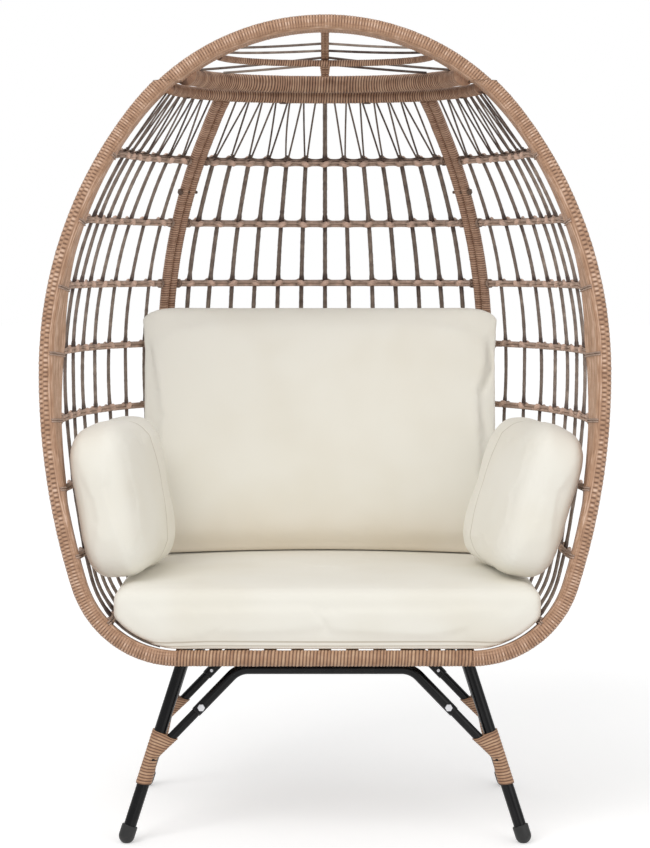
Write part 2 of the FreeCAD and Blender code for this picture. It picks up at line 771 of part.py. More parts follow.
def lace_pairs(chair, side):
    """For each parting strand, its angle at the top row and its two angles at the head bar."""
    columns, heads = strand_angles(chair, warp_top(chair), side), lace_heads(chair, side)
    if side:
        return [(angle, heads[i], heads[i + 1]) for i, angle in enumerate(columns)]
    pairs = []
    half = chair.back_warps // 2
    for i in range(half):
        angle, one, two = columns[half - 1 - i], heads[i], heads[i + 1]
        pairs.append((angle, two, one))
        pairs.append((180 - angle, 180 - one, 180 - two))
    return pairs


def laces(chair, side):
    """Two thin strands from the top of each upright strand to the head bar, in a zigzag."""
    shell, head = chair.shell, bar_rises(chair)[1]
    low, width = warp_top(chair), chair.lace_width
    apart = width / 2 + chair.weave_gap
    solids = []
    for angle, *heads in lace_pairs(chair, side):
        for at, lean in zip(heads, (-1, 1)):
            rings = []
            for turn, rise, level, sign in (
                (angle, low, shell.level(low), lean),
                (at, head, under_head(chair)[0].z, -lean),
            ):
                point, way = shell.point(turn, rise), shell.along(turn, rise)
                middle = Vector(point.x, point.y, level) + way * sign * apart
                square = UP.cross(way)
                section = rectangle(width, chair.lace_depth)
                rings.append([middle + way * u + square * v for u, v in section])
            solids.append(ruled_solid(rings))
    return solids


def build_shell(chair):
    """The wrapped frame and the weave of the two side panels and the back panel."""
    foot, head = bar_rises(chair)
    shift = post_shift(chair)
    through = [(seat, way, 5 * chair.post_radius) for seat, way in post_bolts(chair)]
    upward = [(seat, UP, 3 * chair.post_radius) for seat in crown_bolts(chair)]
    right = {
        "rim": side_rim(chair),
        "side_foot_bar": panel_bar(chair, foot, True),
        "side_head_bar": drill(chair, panel_bar(chair, head, True), upward),
        "side_post": drill(chair, post(chair, -shift), through),
        "side_strands": Part.makeCompound(strands(chair, True)),
        "side_rows": Part.makeCompound(rows(chair, True)),
        "side_laces": Part.makeCompound(laces(chair, True)),
        "back_post": drill(chair, post(chair, shift), through),
    }
    for name, shape in right.items():
        chair.mirrored(chair.feature(f"right_{name}", shape), f"left_{name}")
    chair.feature("back_foot_bar", panel_bar(chair, foot, False))
    chair.feature("back_head_bar", drill(chair, panel_bar(chair, head, False), upward))
    chair.feature("back_strands", Part.makeCompound(strands(chair, False)))
    chair.feature("back_rows", Part.makeCompound(rows(chair, False)))
    chair.feature("back_laces", Part.makeCompound(laces(chair, False)))


def bolt(chair, name, seat, way, length):
    """A hexagon bolt: its head rests on the seat point and its shank runs on along the way."""
    back = way * -chair.head_height
    head = chair.prism(
        f"{name}_head", HEAD_SIDES, f"{SHEET}.head_radius", f"{SHEET}.head_height", seat + back, way
    )
    shank = chair.prism(f"{name}_shank", BOLT_SIDES, f"{SHEET}.bolt_radius", length, seat, way)
    return chair.join(name, [head, shank])


def drill(chair, shape, holes):
    """A worked-out shape with a hole for each bolt, given as seat, way and depth."""
    for seat, way, depth in holes:
        radius = chair.bolt_radius + chair.fit_gap
        turn = FreeCAD.Rotation(UP, way)
        corners = [
            seat + turn.multVec(Vector(radius * math.cos(a), radius * math.sin(a), 0))
            for a in (math.tau * i / BOLT_SIDES for i in range(BOLT_SIDES))
        ]
        shape = shape.cut(Part.Face(closed_wire(corners)).extrude(way * depth))
    return shape.Solids[0]


def post_bolts(chair, mirror=1):
    """Seat and way of each bolt through a pair of posts, midway between two rows."""
    shell, at, rises = chair.shell, chair.post_angle, row_rises(chair)
    found = []
    for i in range(0, chair.woven_rows - 1, int(chair.bolt_step)):
        middle = (shell.point(at, rises[i]) + shell.point(at, rises[i + 1])) / 2
        way = (shell.along(at, rises[i]) + shell.along(at, rises[i + 1])).normalize()
        found.append((middle - way * (2 * chair.post_radius + 2 * chair.joint_gap), way))
    return [(mirror_x(seat, mirror), mirror_x(way, mirror)) for seat, way in found]


def mirror_x(vector, sign):
    return Vector(vector.x * sign, vector.y, vector.z)


def crown_bolts(chair):
    """Seat of each bolt that holds the crown bar on the head bars, between two laces."""
    rise, low = bar_rises(chair)[1], under_head(chair)[0].z
    found = []
    for side in (True, False):
        heads = lace_heads(chair, side)
        at = len(heads) // 2
        middle = shell_middle(chair, rise, heads[at - 1], heads[at])
        found += [Vector(sign * middle.x, middle.y, low) for sign in (1, -1)]
    return found


def shell_middle(chair, rise, first, last):
    return chair.shell.point((first + last) / 2, rise)


def crown_bar_rise(chair):
    return chair.seam_rise + chair.crown_bar_radius / math.cos(chair.shell.slope)


def crown_top(chair):
    """The level plane of the upper flat of the crown bar."""
    return Vector(0, 0, chair.shell.level(chair.seam_rise) + 2 * chair.crown_bar_radius), UP


def crown_hoop(chair, rise, radius, sides, sink, steps):
    """A bar round the plan of the crown, from one end of the arch to the other."""
    shell = chair.shell
    first = shell.band_angle(rise)
    angles = shell.spread(rise, first, 180 - first, [i / steps for i in range(steps + 1)])
    points, across = [], []
    for angle in angles:
        outward = shell.along(angle, rise).cross(shell.climb(angle, rise)).normalize()
        inset = 0 if sink else chair.crown_inset
        points.append(shell.point(angle, rise, inset) - outward * sink)
        across.append(outward if sink else UP)
    plane = behind_rim(chair, rise)
    return swept(points, across, many_sided(radius, sides), plane, plane)


def crown_spine(chair):
    """The flat strip over the middle of the crown, from the arch down to the crown bar."""
    shell, profile, inset = chair.shell, chair.shell.profile, chair.rim_radius
    low = crown_bar_rise(chair) + chair.crown_bar_radius
    start = chair.band_depth + chair.band_radius
    rises = [low + (profile.total - inset - low) * i / PLAN_STEPS for i in range(PLAN_STEPS + 1)]
    high = max(rise for rise in rises if profile.half_at(rise, inset) > start)
    rises = [high - (high - low) * i / SPINE_CHORDS for i in range(SPINE_CHORDS + 1)]
    points = [shell.point(90, rise) for rise in rises]
    across = [Vector(1, 0, 0)] * len(points)
    section = rectangle(chair.spine_width, chair.spine_thickness)
    ends = behind_rim(chair, rises[0]), crown_top(chair)
    return swept(points, across, section, *ends)


def crown_strands(chair):
    """The strands that fan out from the right of the spine to the arch and the crown bar."""
    shell, gap = chair.shell, chair.joint_gap
    low = crown_bar_rise(chair) + chair.crown_bar_radius
    section = rectangle(chair.crown_strand_width, chair.crown_strand_width)
    side = Vector(chair.spine_width / 2 + gap, 0, 0), Vector(1, 0, 0)
    room = chair.rib_rise - low
    solids = []
    fan = [(above, past, False) for above, past in ARCH_FAN] + [(above, at, True) for above, at in BAR_FAN]
    for above, goal, onto_bar in fan:
        first = chair.rib_rise + room * above
        last = low if onto_bar else chair.rib_rise + room * goal
        angle = goal if onto_bar else shell.band_angle(last)
        points = []
        for i in range(STRAND_CHORDS + 1):
            share = i / STRAND_CHORDS
            turn = SPINE_EDGE + (angle - SPINE_EDGE) * share
            points.append(shell.point(turn, first + (last - first) * share))
        seat, up = crown_top(chair)
        end = (seat + up * gap, up) if onto_bar else behind_rim(chair, last, gap)
        solids.append(mitred(points, UP, section, side, end))
    return solids


def build_crown(chair):
    """The top of the chair: arch, rear bar, rib, spine and the strands between them."""
    chair.feature("crown_arch", crown_arch(chair))
    bar = crown_hoop(
        chair, crown_bar_rise(chair), chair.crown_bar_radius, POST_SIDES, 0, CROWN_BAR_CHORDS
    )
    depth = 2 * chair.post_radius + chair.crown_bar_radius
    chair.feature("crown_bar", drill(chair, bar, [(seat, UP, depth) for seat in crown_bolts(chair)]))
    chair.feature("crown_spine", crown_spine(chair))
    sink = chair.rib_radius + chair.spine_thickness / 2 + 2 * chair.weave_gap
    rib = crown_hoop(chair, chair.rib_rise, chair.rib_radius, RIB_SIDES, sink, RIB_CHORDS)
    chair.feature("crown_rib", rib)
    right = chair.feature("right_crown_strands", Part.makeCompound(crown_strands(chair)))
    chair.mirrored(right, "left_crown_strands")
    bolts = [
        bolt(chair, f"crown_bolt_{i}", seat, UP, f"2 * {SHEET}.post_radius + {SHEET}.crown_bar_radius / 2")
        for i, seat in enumerate(crown_bolts(chair))
    ]
    chair.keep(chair.group("crown_bolts", bolts), "crown_bolts")
    posts = [
        bolt(chair, f"post_bolt_{i}", seat, way, f"4 * {SHEET}.post_radius + 4")
        for i, (seat, way) in enumerate(post_bolts(chair) + post_bolts(chair, -1))
    ]
    chair.keep(chair.group("post_bolts", posts), "post_bolts")


def frame_level(chair):
    return chair.seat_underside + chair.frame_lift


def build_seat(chair):
    """The bar under the front edge, the steel frame of the seat and its flat straps."""
    shell, half = chair.shell, chair.frame_half
    front_y, front_z = shell.plane(chair.rim_radius), shell.level(chair.rim_radius)
    base = Vector(-chair.flat_half, front_y, front_z)
    across = Vector(1, 0, 0)
    length = f"2 * {SHEET}.flat_half * {SHEET}.egg_width"
    bar = chair.rod("front_bar_body", f"{SHEET}.rim_radius", length, base, across)
    chair.keep(bar, "front_bar")
    front, rear = front_y + chair.rim_radius, chair.behind(chair.frame_rear)
    corners = [Vector(half, front), Vector(half, rear), Vector(-half, rear), Vector(-half, front)]
    level = Vector(0, 0, frame_level(chair))
    corners = [corner + level for corner in corners]
    tube = bent_tube(corners, chair.frame_radius, chair.frame_corner, Vector(1, 0, 0))
    depth = chair.plate_thickness + chair.frame_radius + 1
    chair.feature("seat_frame", drill(chair, tube, [(seat, UP, depth) for seat in plate_bolts(chair)]))
    top = frame_level(chair) + chair.frame_radius
    width, thick = f"{SHEET}.strap_width", f"{SHEET}.strap_thickness"
    reach = chair.frame_half - chair.frame_radius - chair.strap_width
    straps = []
    for i in range(chair.long_straps):
        x = -reach + 2 * reach * i / (chair.long_straps - 1) - chair.strap_width / 2
        corner = Vector(x, front, top)
        run = f"{rear - front + chair.frame_radius / 2}"
        straps.append(chair.box(f"long_strap_{i}", width, run, thick, corner))
    chair.keep(chair.group("long_straps_group", straps), "long_straps")
    straps = []
    half_run = f"{SHEET}.flat_half * {SHEET}.egg_width - {SHEET}.frame_inboard + {SHEET}.frame_radius"
    run = f"2 * ({half_run})"
    pitch = (rear - front) / (chair.cross_straps + 0.5)
    for i in range(chair.cross_straps):
        y = front + pitch * (i + 0.5) - chair.strap_width / 2
        corner = Vector(-half - chair.frame_radius, y, top + chair.strap_thickness)
        straps.append(chair.box(f"cross_strap_{i}", run, width, thick, corner))
    chair.keep(chair.group("cross_straps_group", straps), "cross_straps")


def plate_level(chair):
    """The underside of the plates that carry the seat frame."""
    return frame_level(chair) - chair.frame_radius - chair.plate_thickness


def plate_bolts(chair, ends=("front", "rear"), sides=(1, -1)):
    """Seat of each bolt up through a plate into the seat frame."""
    found = []
    for end in ends:
        middle = chair.behind(getattr(chair, f"{end}_leg_top"))
        for side in sides:
            for shift in (-chair.bolt_spread, chair.bolt_spread):
                found.append(Vector(side * chair.frame_half, middle + shift, plate_level(chair)))
    return found


class Leg:
    """The right-hand leg at the front or the rear, its stub and the points that others need."""

    def __init__(self, chair, end):
        self.chair, self.end = chair, end
        top, foot = (chair.behind(getattr(chair, f"{end}_leg_{at}")) for at in ("top", "foot"))
        self.top = Vector(chair.leg_top_half, top, plate_level(chair))
        self.foot = Vector(chair.leg_foot_half, foot, chair.cap_radius - chair.cap_sink)
        self.way = (self.top - self.foot).normalize()
        self.root = self.at(chair.stub_low)
        corner = Vector(chair.brace_half, self.root.y, chair.seat_underside - chair.brace_drop)
        self.corner = corner
        self.stub_way = (corner - self.root).normalize()
        self.face = Vector(0, 1 if end == "front" else -1, 0)

    def at(self, level):
        """The point of the leg's axis at a level."""
        return self.foot + self.way * ((level - self.foot.z) / self.way.z)

    def brace_bolt(self):
        """Where the axis of the bolt through the cross bar and the stub crosses the stub."""
        chair = self.chair
        return self.root + self.stub_way * (chair.stub_length - chair.sleeve_depth * BOLT_IN_SLEEVE)

    def sleeve(self):
        """Where the cross bar starts on the stub."""
        return self.root + self.stub_way * (self.chair.stub_length - self.chair.sleeve_depth)

    def hole(self, name, seat, way, length):
        radius = f"{SHEET}.bolt_radius + {SHEET}.fit_gap"
        return self.chair.prism(name, BOLT_SIDES, radius, length, seat, way)

    def brace_hole(self, name):
        start = self.brace_bolt() - self.face * (self.chair.brace_radius + 1)
        return self.hole(name, start, self.face, f"2 * {SHEET}.brace_radius + 2")

    def build_leg(self):
        """The tube with its welded plate and stub, drilled for its bolts."""
        chair, name = self.chair, f"{self.end}_leg"
        tube = chair.rod(
            f"{name}_tube",
            f"{SHEET}.leg_radius",
            f"{SHEET}.seat_underside / {self.way.z} + {SHEET}.frame_lift",
            self.foot,
            self.way,
        )
        reach = chair.seat_underside
        corner = Vector(self.top.x - reach / 2, self.top.y - reach / 2, self.top.z)
        above = chair.box(f"{name}_above", f"{reach}", f"{reach}", f"{reach}", corner)
        tube = chair.cut(f"{name}_cut", tube, above)
        stub = chair.cylinder(
            f"{name}_stub",
            f"{SHEET}.stub_radius",
            f"{SHEET}.stub_length * {SHEET}.egg_width",
            self.root,
            self.stub_way,
        )
        shift = Vector(chair.plate_width * PLATE_INBOARD, chair.plate_length / 2, 0)
        plate = chair.box(
            f"{name}_plate",
            f"{SHEET}.plate_width",
            f"{SHEET}.plate_length",
            f"{SHEET}.plate_thickness",
            self.top - shift,
        )
        body = chair.join(f"{name}_welded", [tube, stub, plate])
        holes = [
            self.hole(f"{name}_hole_{i}", seat, UP, f"{SHEET}.plate_thickness")
            for i, seat in enumerate(plate_bolts(chair, (self.end,), (1,)))
        ]
        holes.append(self.brace_hole(f"{name}_brace_hole"))
        leg = chair.cut(f"{name}_drilled", body, chair.group(f"{name}_holes", holes))
        chair.mirrored(chair.keep(leg, f"right_{name}"), f"left_{name}")

    def ring(self, radius, sides, along):
        """A many-sided section square to the leg, at a distance along it from the foot."""
        turn = FreeCAD.Rotation(UP, self.way)
        corners = [turn.multVec(Vector(u, v, 0)) for u, v in many_sided(radius, sides)]
        return [self.foot + self.way * along + corner for corner in corners]

    def build_cap(self):
        """The rubber foot: a ball with a sleeve up the leg, flat where it stands."""
        chair, name, radius = self.chair, f"{self.end}_cap", self.chair.cap_radius
        rings = []
        for degrees in CAP_TURNS:
            turn = math.radians(degrees)
            rings.append(self.ring(radius * math.sin(turn), CAP_SIDES, -radius * math.cos(turn)))
        rings.append(self.ring(radius, CAP_SIDES, chair.cap_height))
        inside = chair.leg_radius + chair.fit_gap
        bore = plug(inside, CAP_SIDES, self.foot, self.way, 2 * chair.cap_height)
        reach = 2 * radius
        corner = Vector(self.foot.x - reach, self.foot.y - reach, -reach)
        under = Part.makeBox(2 * reach, 2 * reach, reach, corner)
        solid = ruled_solid(rings).cut(bore).cut(under)
        chair.mirrored(chair.feature(f"right_{name}", solid.Solids[0]), f"left_{name}")

    def build_wrap(self):
        """The rattan round the leg that widens to take in the foot of the stub."""
        chair, name = self.chair, f"{self.end}_wrap"
        leg_reach = chair.leg_radius + chair.wrap_thickness
        stub_reach = chair.stub_radius + chair.wrap_thickness
        rings = []
        for level in (chair.wrap_low, chair.stub_low, chair.wrap_high):
            middle = self.at(level)
            run = (level - self.root.z) / self.stub_way.z
            inner = self.root + self.stub_way * max(run, 0)
            inner.x = min(inner.x, middle.x)
            ring = []
            for i in range(TUBE_SIDES):
                turn = math.tau * (i + 0.5) / TUBE_SIDES - math.pi / 2
                right = math.cos(turn) >= 0
                centre, reach = (middle, leg_reach) if right else (inner, stub_reach)
                if level <= chair.stub_low:
                    reach = leg_reach
                side = Vector(math.cos(turn) / self.way.z, math.sin(turn), 0) * reach
                ring.append(Vector(centre.x, centre.y, level) + side)
            rings.append(ring)
        solid = ruled_solid(rings)
        for radius, base, way in (
            (chair.leg_radius, self.foot, self.way),
            (chair.stub_radius, self.root, self.stub_way),
        ):
            reach = chair.seat_underside
            solid = solid.cut(plug(radius + chair.fit_gap, CAP_SIDES, base, way, reach))
        wrap = chair.feature(f"right_{name}", max(solid.Solids, key=lambda piece: piece.Volume))
        chair.mirrored(wrap, f"left_{name}")


def build_cross_bar(chair, leg):
    """The bent tube from the stub of one leg to that of the other, with a socket at each end."""
    name = f"{leg.end}_cross_bar"
    start, corner = leg.sleeve(), leg.corner
    corners = [start, corner, mirror_x(corner, -1), mirror_x(start, -1)]
    tube = bent_tube(corners, chair.brace_radius, chair.brace_bend, UP)
    inside, depth = chair.stub_radius + chair.fit_gap, chair.sleeve_depth + 1
    holes = []
    for side in (1, -1):
        way = mirror_x(leg.stub_way, side)
        tube = tube.cut(plug(inside, TUBE_SIDES, mirror_x(start, side) - way, way, depth))
        seat = mirror_x(leg.brace_bolt(), side) - leg.face * (chair.brace_radius + 1)
        holes.append((seat, leg.face, 2 * chair.brace_radius + 2))
    chair.feature(name, drill(chair, tube, holes))
    bolts = []
    for side in (1, -1):
        seat = mirror_x(leg.brace_bolt(), side) - leg.face * chair.brace_radius
        bolts.append(
            bolt(chair, f"{leg.end}_brace_bolt_{side + 1}", seat, leg.face, f"2 * {SHEET}.brace_radius")
        )
    return bolts


def build_stand(chair):
    """The four legs with their caps and wraps, the two cross bars and all of their bolts."""
    brace_bolts = []
    for end in ("front", "rear"):
        leg = Leg(chair, end)
        leg.build_leg()
        leg.build_cap()
        leg.build_wrap()
        brace_bolts += build_cross_bar(chair, leg)
    chair.keep(chair.group("brace_bolts_group", brace_bolts), "brace_bolts")
    bolts = [
        bolt(chair, f"frame_bolt_{i}", seat, UP, f"{SHEET}.plate_thickness + {SHEET}.frame_radius")
        for i, seat in enumerate(plate_bolts(chair))
    ]
    chair.keep(chair.group("frame_bolts_group", bolts), "frame_bolts")


def seat_cushion(chair):
    """The boxed seat cushion: its plan follows the shell, its front is straight, its top swells."""
    shell, front = chair.shell, chair.behind(chair.seat_front)
    low = chair.seat_underside + chair.seat_lift
    edge = low + chair.seat_thickness
    levels = [(low + above, 0) for above in SEAT_WALL]
    levels += [(edge + chair.crown_height * share, draw) for share, draw in SEAT_TOP]
    rings = []
    for level, draw in levels:
        rise = shell.rise_at(min(level, edge))
        inboard = max(SEAT_EDGE, SEAT_INBOARD + shell.inset(rise))
        half = min(chair.seat_half, shell.front.half_at(rise, inboard)) - draw
        depth = shell.profile.half_at(rise, chair.rim_radius) - chair.cushion_clearance
        back = shell.plane(rise) + depth - draw
        power = 2 / shell.power(rise)
        corner = min(SEAT_CORNER, half / 8)
        ring = []
        for i in range(5):
            turn = math.pi / 8 * i - math.pi / 2
            bend = Vector(math.cos(turn), math.sin(turn)) * corner
            ring.append(Vector(half - corner + bend.x, front + draw + corner + bend.y, level))
        start = front + draw + corner
        for i in range(1, 16):
            turn = math.pi * i / 16
            across = math.copysign(abs(math.cos(turn)) ** power, math.cos(turn))
            rear = math.sin(turn) ** power
            ring.append(Vector(half * across, start + (back - start) * rear, level))
        ring += [Vector(-point.x, point.y, point.z) for point in ring[4::-1]]
        rings.append(ring)
    return ruled_solid(rings)


def top_of_seat(chair):
    """The level on which the back cushion and the pillows stand."""
    low = chair.seat_underside + chair.seat_lift
    return low + chair.seat_thickness + chair.crown_height + chair.cushion_gap


def back_cushion(chair):
    """The bowed back cushion: full in the middle, thinner at its edges, its sides drawn in."""
    low, half = top_of_seat(chair), chair.back_width / 2
    lean = math.tan(math.radians(chair.back_lean))
    tall = chair.back_height * math.cos(math.radians(chair.back_lean)) / 2
    rings = []
    for share in [-share for share in BACK_RINGS[:0:-1]] + list(BACK_RINGS):
        ends = share**2
        full = math.sqrt(1 - BACK_END_THIN * abs(share) ** 5)
        thick = chair.back_thickness / 2 * (1 - (1 - chair.edge_share) * ends) * full
        reach = (tall - chair.drawn_in * (1 - ends)) * (1 - BACK_END_LOW * abs(share) ** 14)
        bow = chair.behind(chair.back_middle) - chair.back_bow * ends
        ring = []
        for i in range(16):
            turn = math.tau * i / 16
            up = math.copysign(abs(math.sin(turn)) ** BACK_ROUNDING, math.sin(turn))
            deep = math.copysign(abs(math.cos(turn)) ** BACK_ROUNDING, math.cos(turn))
            z = low + tall + reach * up
            ring.append(Vector(half * share, bow + lean * (z - low) + thick * deep, z))
        rings.append(ring)
    return ruled_solid(rings)


def pillow(chair):
    """A boxed pillow about its own middle: length along Y, height along Z, thickness along X."""
    rings = []
    half = chair.pillow_thickness / 2
    for share, inset in [(-share, inset) for share, inset in PILLOW_RINGS] + list(PILLOW_RINGS[-2::-1]):
        x = half * share
        ring = []
        for i in range(24):
            turn = math.tau * (i + 0.5) / 24
            draw = inset + chair.drawn_in * math.cos(2 * turn) ** 2
            y = math.copysign(abs(math.cos(turn)) ** PILLOW_ROUNDING, math.cos(turn))
            z = math.copysign(abs(math.sin(turn)) ** PILLOW_ROUNDING, math.sin(turn))
            wide, tall = chair.pillow_length / 2 - draw, chair.pillow_height / 2 - draw
            ring.append(Vector(x, wide * y, tall * z))
        rings.append(ring)
    return ruled_solid(rings)


def place_pillow(chair, label, side, middle, yaw, tilt):
    """Stands a pillow at one side, turned in at the rear and leaning out at the top."""
    shape = pillow(chair)
    turn = FreeCAD.Rotation(UP, side * yaw).multiply(FreeCAD.Rotation(Vector(0, 1, 0), side * tilt))
    shape.Placement = FreeCAD.Placement(Vector(side * middle, 0, 0), turn)
    ring = shape.BoundBox
    front = chair.behind(chair.pillow_front) - ring.YMin
    shape.translate(Vector(0, front, top_of_seat(chair) - ring.ZMin))
    chair.feature(label, shape)


def build_cushions(chair):
    """The four loose cushions."""
    chair.feature("seat_cushion", seat_cushion(chair))
    chair.feature("back_cushion", back_cushion(chair))
    place_pillow(chair, "left_pillow", -1, chair.left_pillow_out, chair.left_yaw, chair.left_tilt)
    place_pillow(chair, "right_pillow", 1, chair.right_pillow_out, chair.right_yaw, chair.right_tilt)


def finish(chair):
    """Recomputes, checks every object and writes one file for each sub-part."""
    chair.doc.recompute()
    for thing in chair.doc.Objects:
        if "Invalid" in thing.State or "Error" in thing.State:
            raise RuntimeError(f"{thing.Label}: {thing.State}")
    os.makedirs("parts", exist_ok=True)
    for node in chair.nodes:
        if node.Shape.isNull() or not node.Shape.isValid() or not node.Shape.Solids:
            raise RuntimeError(f"{node.Label} has no valid solid")
        node.Shape.exportStep(f"parts/{node.Label}.step")
    print(f"{len(chair.nodes)} sub-parts written")


def main():
    chair = Chair()
    build_shell(chair)
    build_crown(chair)
    build_seat(chair)
    build_stand(chair)
    build_cushions(chair)
    finish(chair)


main()
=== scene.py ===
"""Free-standing wicker egg chair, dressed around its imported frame.

Metres, +Z up, the chair faces -Y. The wicker follows one egg surface: a leaning egg outline in front, an
egg profile behind it for the depth, and a plan that squares up towards the seat. Tubes are wound with
half-round strips, rows are crossed pairs of strands, and the cushions are filled by a cloth simulation.
"""

import sys

import json
import logging
import math
from dataclasses import dataclass, field, replace
from enum import Enum

import bpy
import numpy as np
from mathutils import Matrix, Vector

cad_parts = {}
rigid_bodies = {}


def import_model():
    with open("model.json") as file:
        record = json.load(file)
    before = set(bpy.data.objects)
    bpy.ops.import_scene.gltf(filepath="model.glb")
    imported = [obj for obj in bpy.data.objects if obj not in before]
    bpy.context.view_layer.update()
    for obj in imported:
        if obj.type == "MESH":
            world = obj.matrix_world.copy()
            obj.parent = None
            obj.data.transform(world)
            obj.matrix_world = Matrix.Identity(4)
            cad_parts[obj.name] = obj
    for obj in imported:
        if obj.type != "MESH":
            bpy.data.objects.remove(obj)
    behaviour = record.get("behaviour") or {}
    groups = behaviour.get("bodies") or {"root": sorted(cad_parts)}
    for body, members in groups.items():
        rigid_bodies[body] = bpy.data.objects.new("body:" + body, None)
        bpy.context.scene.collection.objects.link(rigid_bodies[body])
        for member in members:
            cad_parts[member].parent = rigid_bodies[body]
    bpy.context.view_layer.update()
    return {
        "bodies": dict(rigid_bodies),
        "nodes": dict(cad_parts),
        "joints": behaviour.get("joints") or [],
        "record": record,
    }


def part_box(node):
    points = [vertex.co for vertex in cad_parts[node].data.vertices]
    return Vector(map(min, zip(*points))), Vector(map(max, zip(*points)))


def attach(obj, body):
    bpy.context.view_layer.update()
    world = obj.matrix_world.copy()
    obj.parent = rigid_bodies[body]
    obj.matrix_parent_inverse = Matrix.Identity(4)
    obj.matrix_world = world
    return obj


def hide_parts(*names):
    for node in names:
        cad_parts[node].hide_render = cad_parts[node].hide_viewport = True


Array = np.ndarray
Triple = tuple[float, float, float]
Colour = Triple
Object, Mesh, Material = bpy.types.Object, bpy.types.Mesh, bpy.types.Material
Node, NodeTree, Socket = bpy.types.Node, bpy.types.NodeTree, bpy.types.NodeSocket
LOG = logging.getLogger("egg_chair")
UP = np.array([0.0, 0.0, 1.0])
RIGHT = np.array([1.0, 0.0, 0.0])
join = np.concatenate


class Side(Enum):
    """The two hands of the chair, as the sign of X."""

    RIGHT = 1
    LEFT = -1

    @property
    def label(self) -> str:
        """The word that starts the names of this side's pieces."""
        return self.name.lower()


class Panel(Enum):
    """The two kinds of woven panel."""

    FLANK = "side"
    BACK = "back"


# ------------ surfaces


def unit(vectors: Array) -> Array:
    """Vectors at length one."""
    return vectors / np.maximum(np.linalg.norm(vectors, axis=-1, keepdims=True), 1e-12)


def run_lengths(path: Array) -> Array:
    """Distance along a path at each of its points."""
    return join([[0.0], np.cumsum(np.linalg.norm(np.diff(path, axis=0), axis=1))])


def even_path(path: Array, step: float) -> Array:
    """The same path with points an even step apart."""
    run = run_lengths(path)
    count = max(int(math.ceil(run[-1] / step)), 2)
    at = np.linspace(0.0, run[-1], count + 1)
    return np.stack([np.interp(at, run, path[:, axis]) for axis in range(3)], axis=1)


def rounded_path(corners: Array, bend: float, step: float) -> Array:
    """A run through corners, each rounded to an arc: centre + radius * (cos, sin) between the tangents.

    Args:
        corners: Corner points, one per row.
        bend: Radius of every bend.
        step: Distance between points.

    Returns:
        Points of the run.
    """
    pieces = [corners[:1]]
    for before, corner, after in zip(corners, corners[1:], corners[2:]):
        one, two = unit(corner - before), unit(after - corner)
        turn = math.acos(float(np.clip(one @ two, -1, 1)))
        centre = corner + unit(two - one) * (bend / math.cos(turn / 2))
        start = corner - one * bend * math.tan(turn / 2) - centre
        angle = np.linspace(0, turn, 24)[:, None]
        pieces.append(centre + start * np.cos(angle) + one * bend * np.sin(angle))
    return even_path(join(pieces + [corners[-1:]]), step)


def path_frames(path: Array, side: Array) -> tuple[Array, Array, Array]:
    """Directions at each point of a path.

    Args:
        path: Points of the path.
        side: The wanted first direction, one for all points or one each.

    Returns:
        The direction ahead, the first direction square to it, and ahead x first.
    """
    ahead = unit(np.gradient(path, axis=0))
    wanted = np.broadcast_to(side, path.shape)
    first = unit(wanted - ahead * np.sum(wanted * ahead, axis=1, keepdims=True))
    return ahead, first, np.cross(ahead, first)


@dataclass(frozen=True)
class EggCurve:
    """Half of an egg outline: a flat foot, then corner, side, shoulder and top arcs that meet tangent."""

    flat: float
    corner: float
    half: float
    widest: float
    total: float
    top: float

    def arcs(self, inset: float) -> list[tuple[float, float, float, float, float]]:
        """Each arc as centre, radius and first and last turn from the foot.

        Args:
            inset: Distance inside the outline.

        Returns:
            Centre X, centre rise, radius, first turn and last turn of the four arcs.
        """
        reach = self.half - self.flat
        side = (reach**2 + (self.widest - self.corner) ** 2 - self.corner**2) / (2 * (reach - self.corner))
        above = self.total - self.widest
        shoulder = (self.half**2 + (above - self.top) ** 2 - self.top**2) / (2 * (self.half - self.top))
        low = math.asin((side - reach) / (side - self.corner))
        high = math.pi - math.asin((shoulder - self.half) / (shoulder - self.top))
        middle = math.pi / 2
        return [
            (self.flat, self.corner, self.corner - inset, 0.0, low),
            (self.half - side, self.widest, side - inset, low, middle),
            (self.half - shoulder, self.widest, shoulder - inset, middle, high),
            (0.0, self.total - self.top, self.top - inset, high, math.pi),
        ]

    def half_at(self, rise: Array, inset: float) -> Array:
        """Half the width at each rise: centre + sqrt(radius^2 - drop^2) on the arc that passes it."""
        rise = np.asarray(rise, float)
        found = np.zeros_like(rise)
        done = np.zeros(rise.shape, bool)
        for x, level, radius, _, last in self.arcs(inset):
            here = ~done & (rise <= level - radius * math.cos(last) + 1e-9)
            width = x + np.sqrt(np.maximum(radius**2 - (level - rise) ** 2, 0.0))
            found = np.where(here, width, found)
            done |= here
        return found

    def trace(self, inset: float, step: float) -> Array:
        """Points of the outline from the flat foot to the top, as X, rise and turn."""
        rows = []
        for x, level, radius, first, last in self.arcs(inset):
            count = max(int(radius * (last - first) / step), 2)
            turn = np.linspace(first, last, count, endpoint=last >= math.pi)
            rows.append(np.stack([x + radius * np.sin(turn), level - radius * np.cos(turn), turn], axis=1))
        return join(rows)


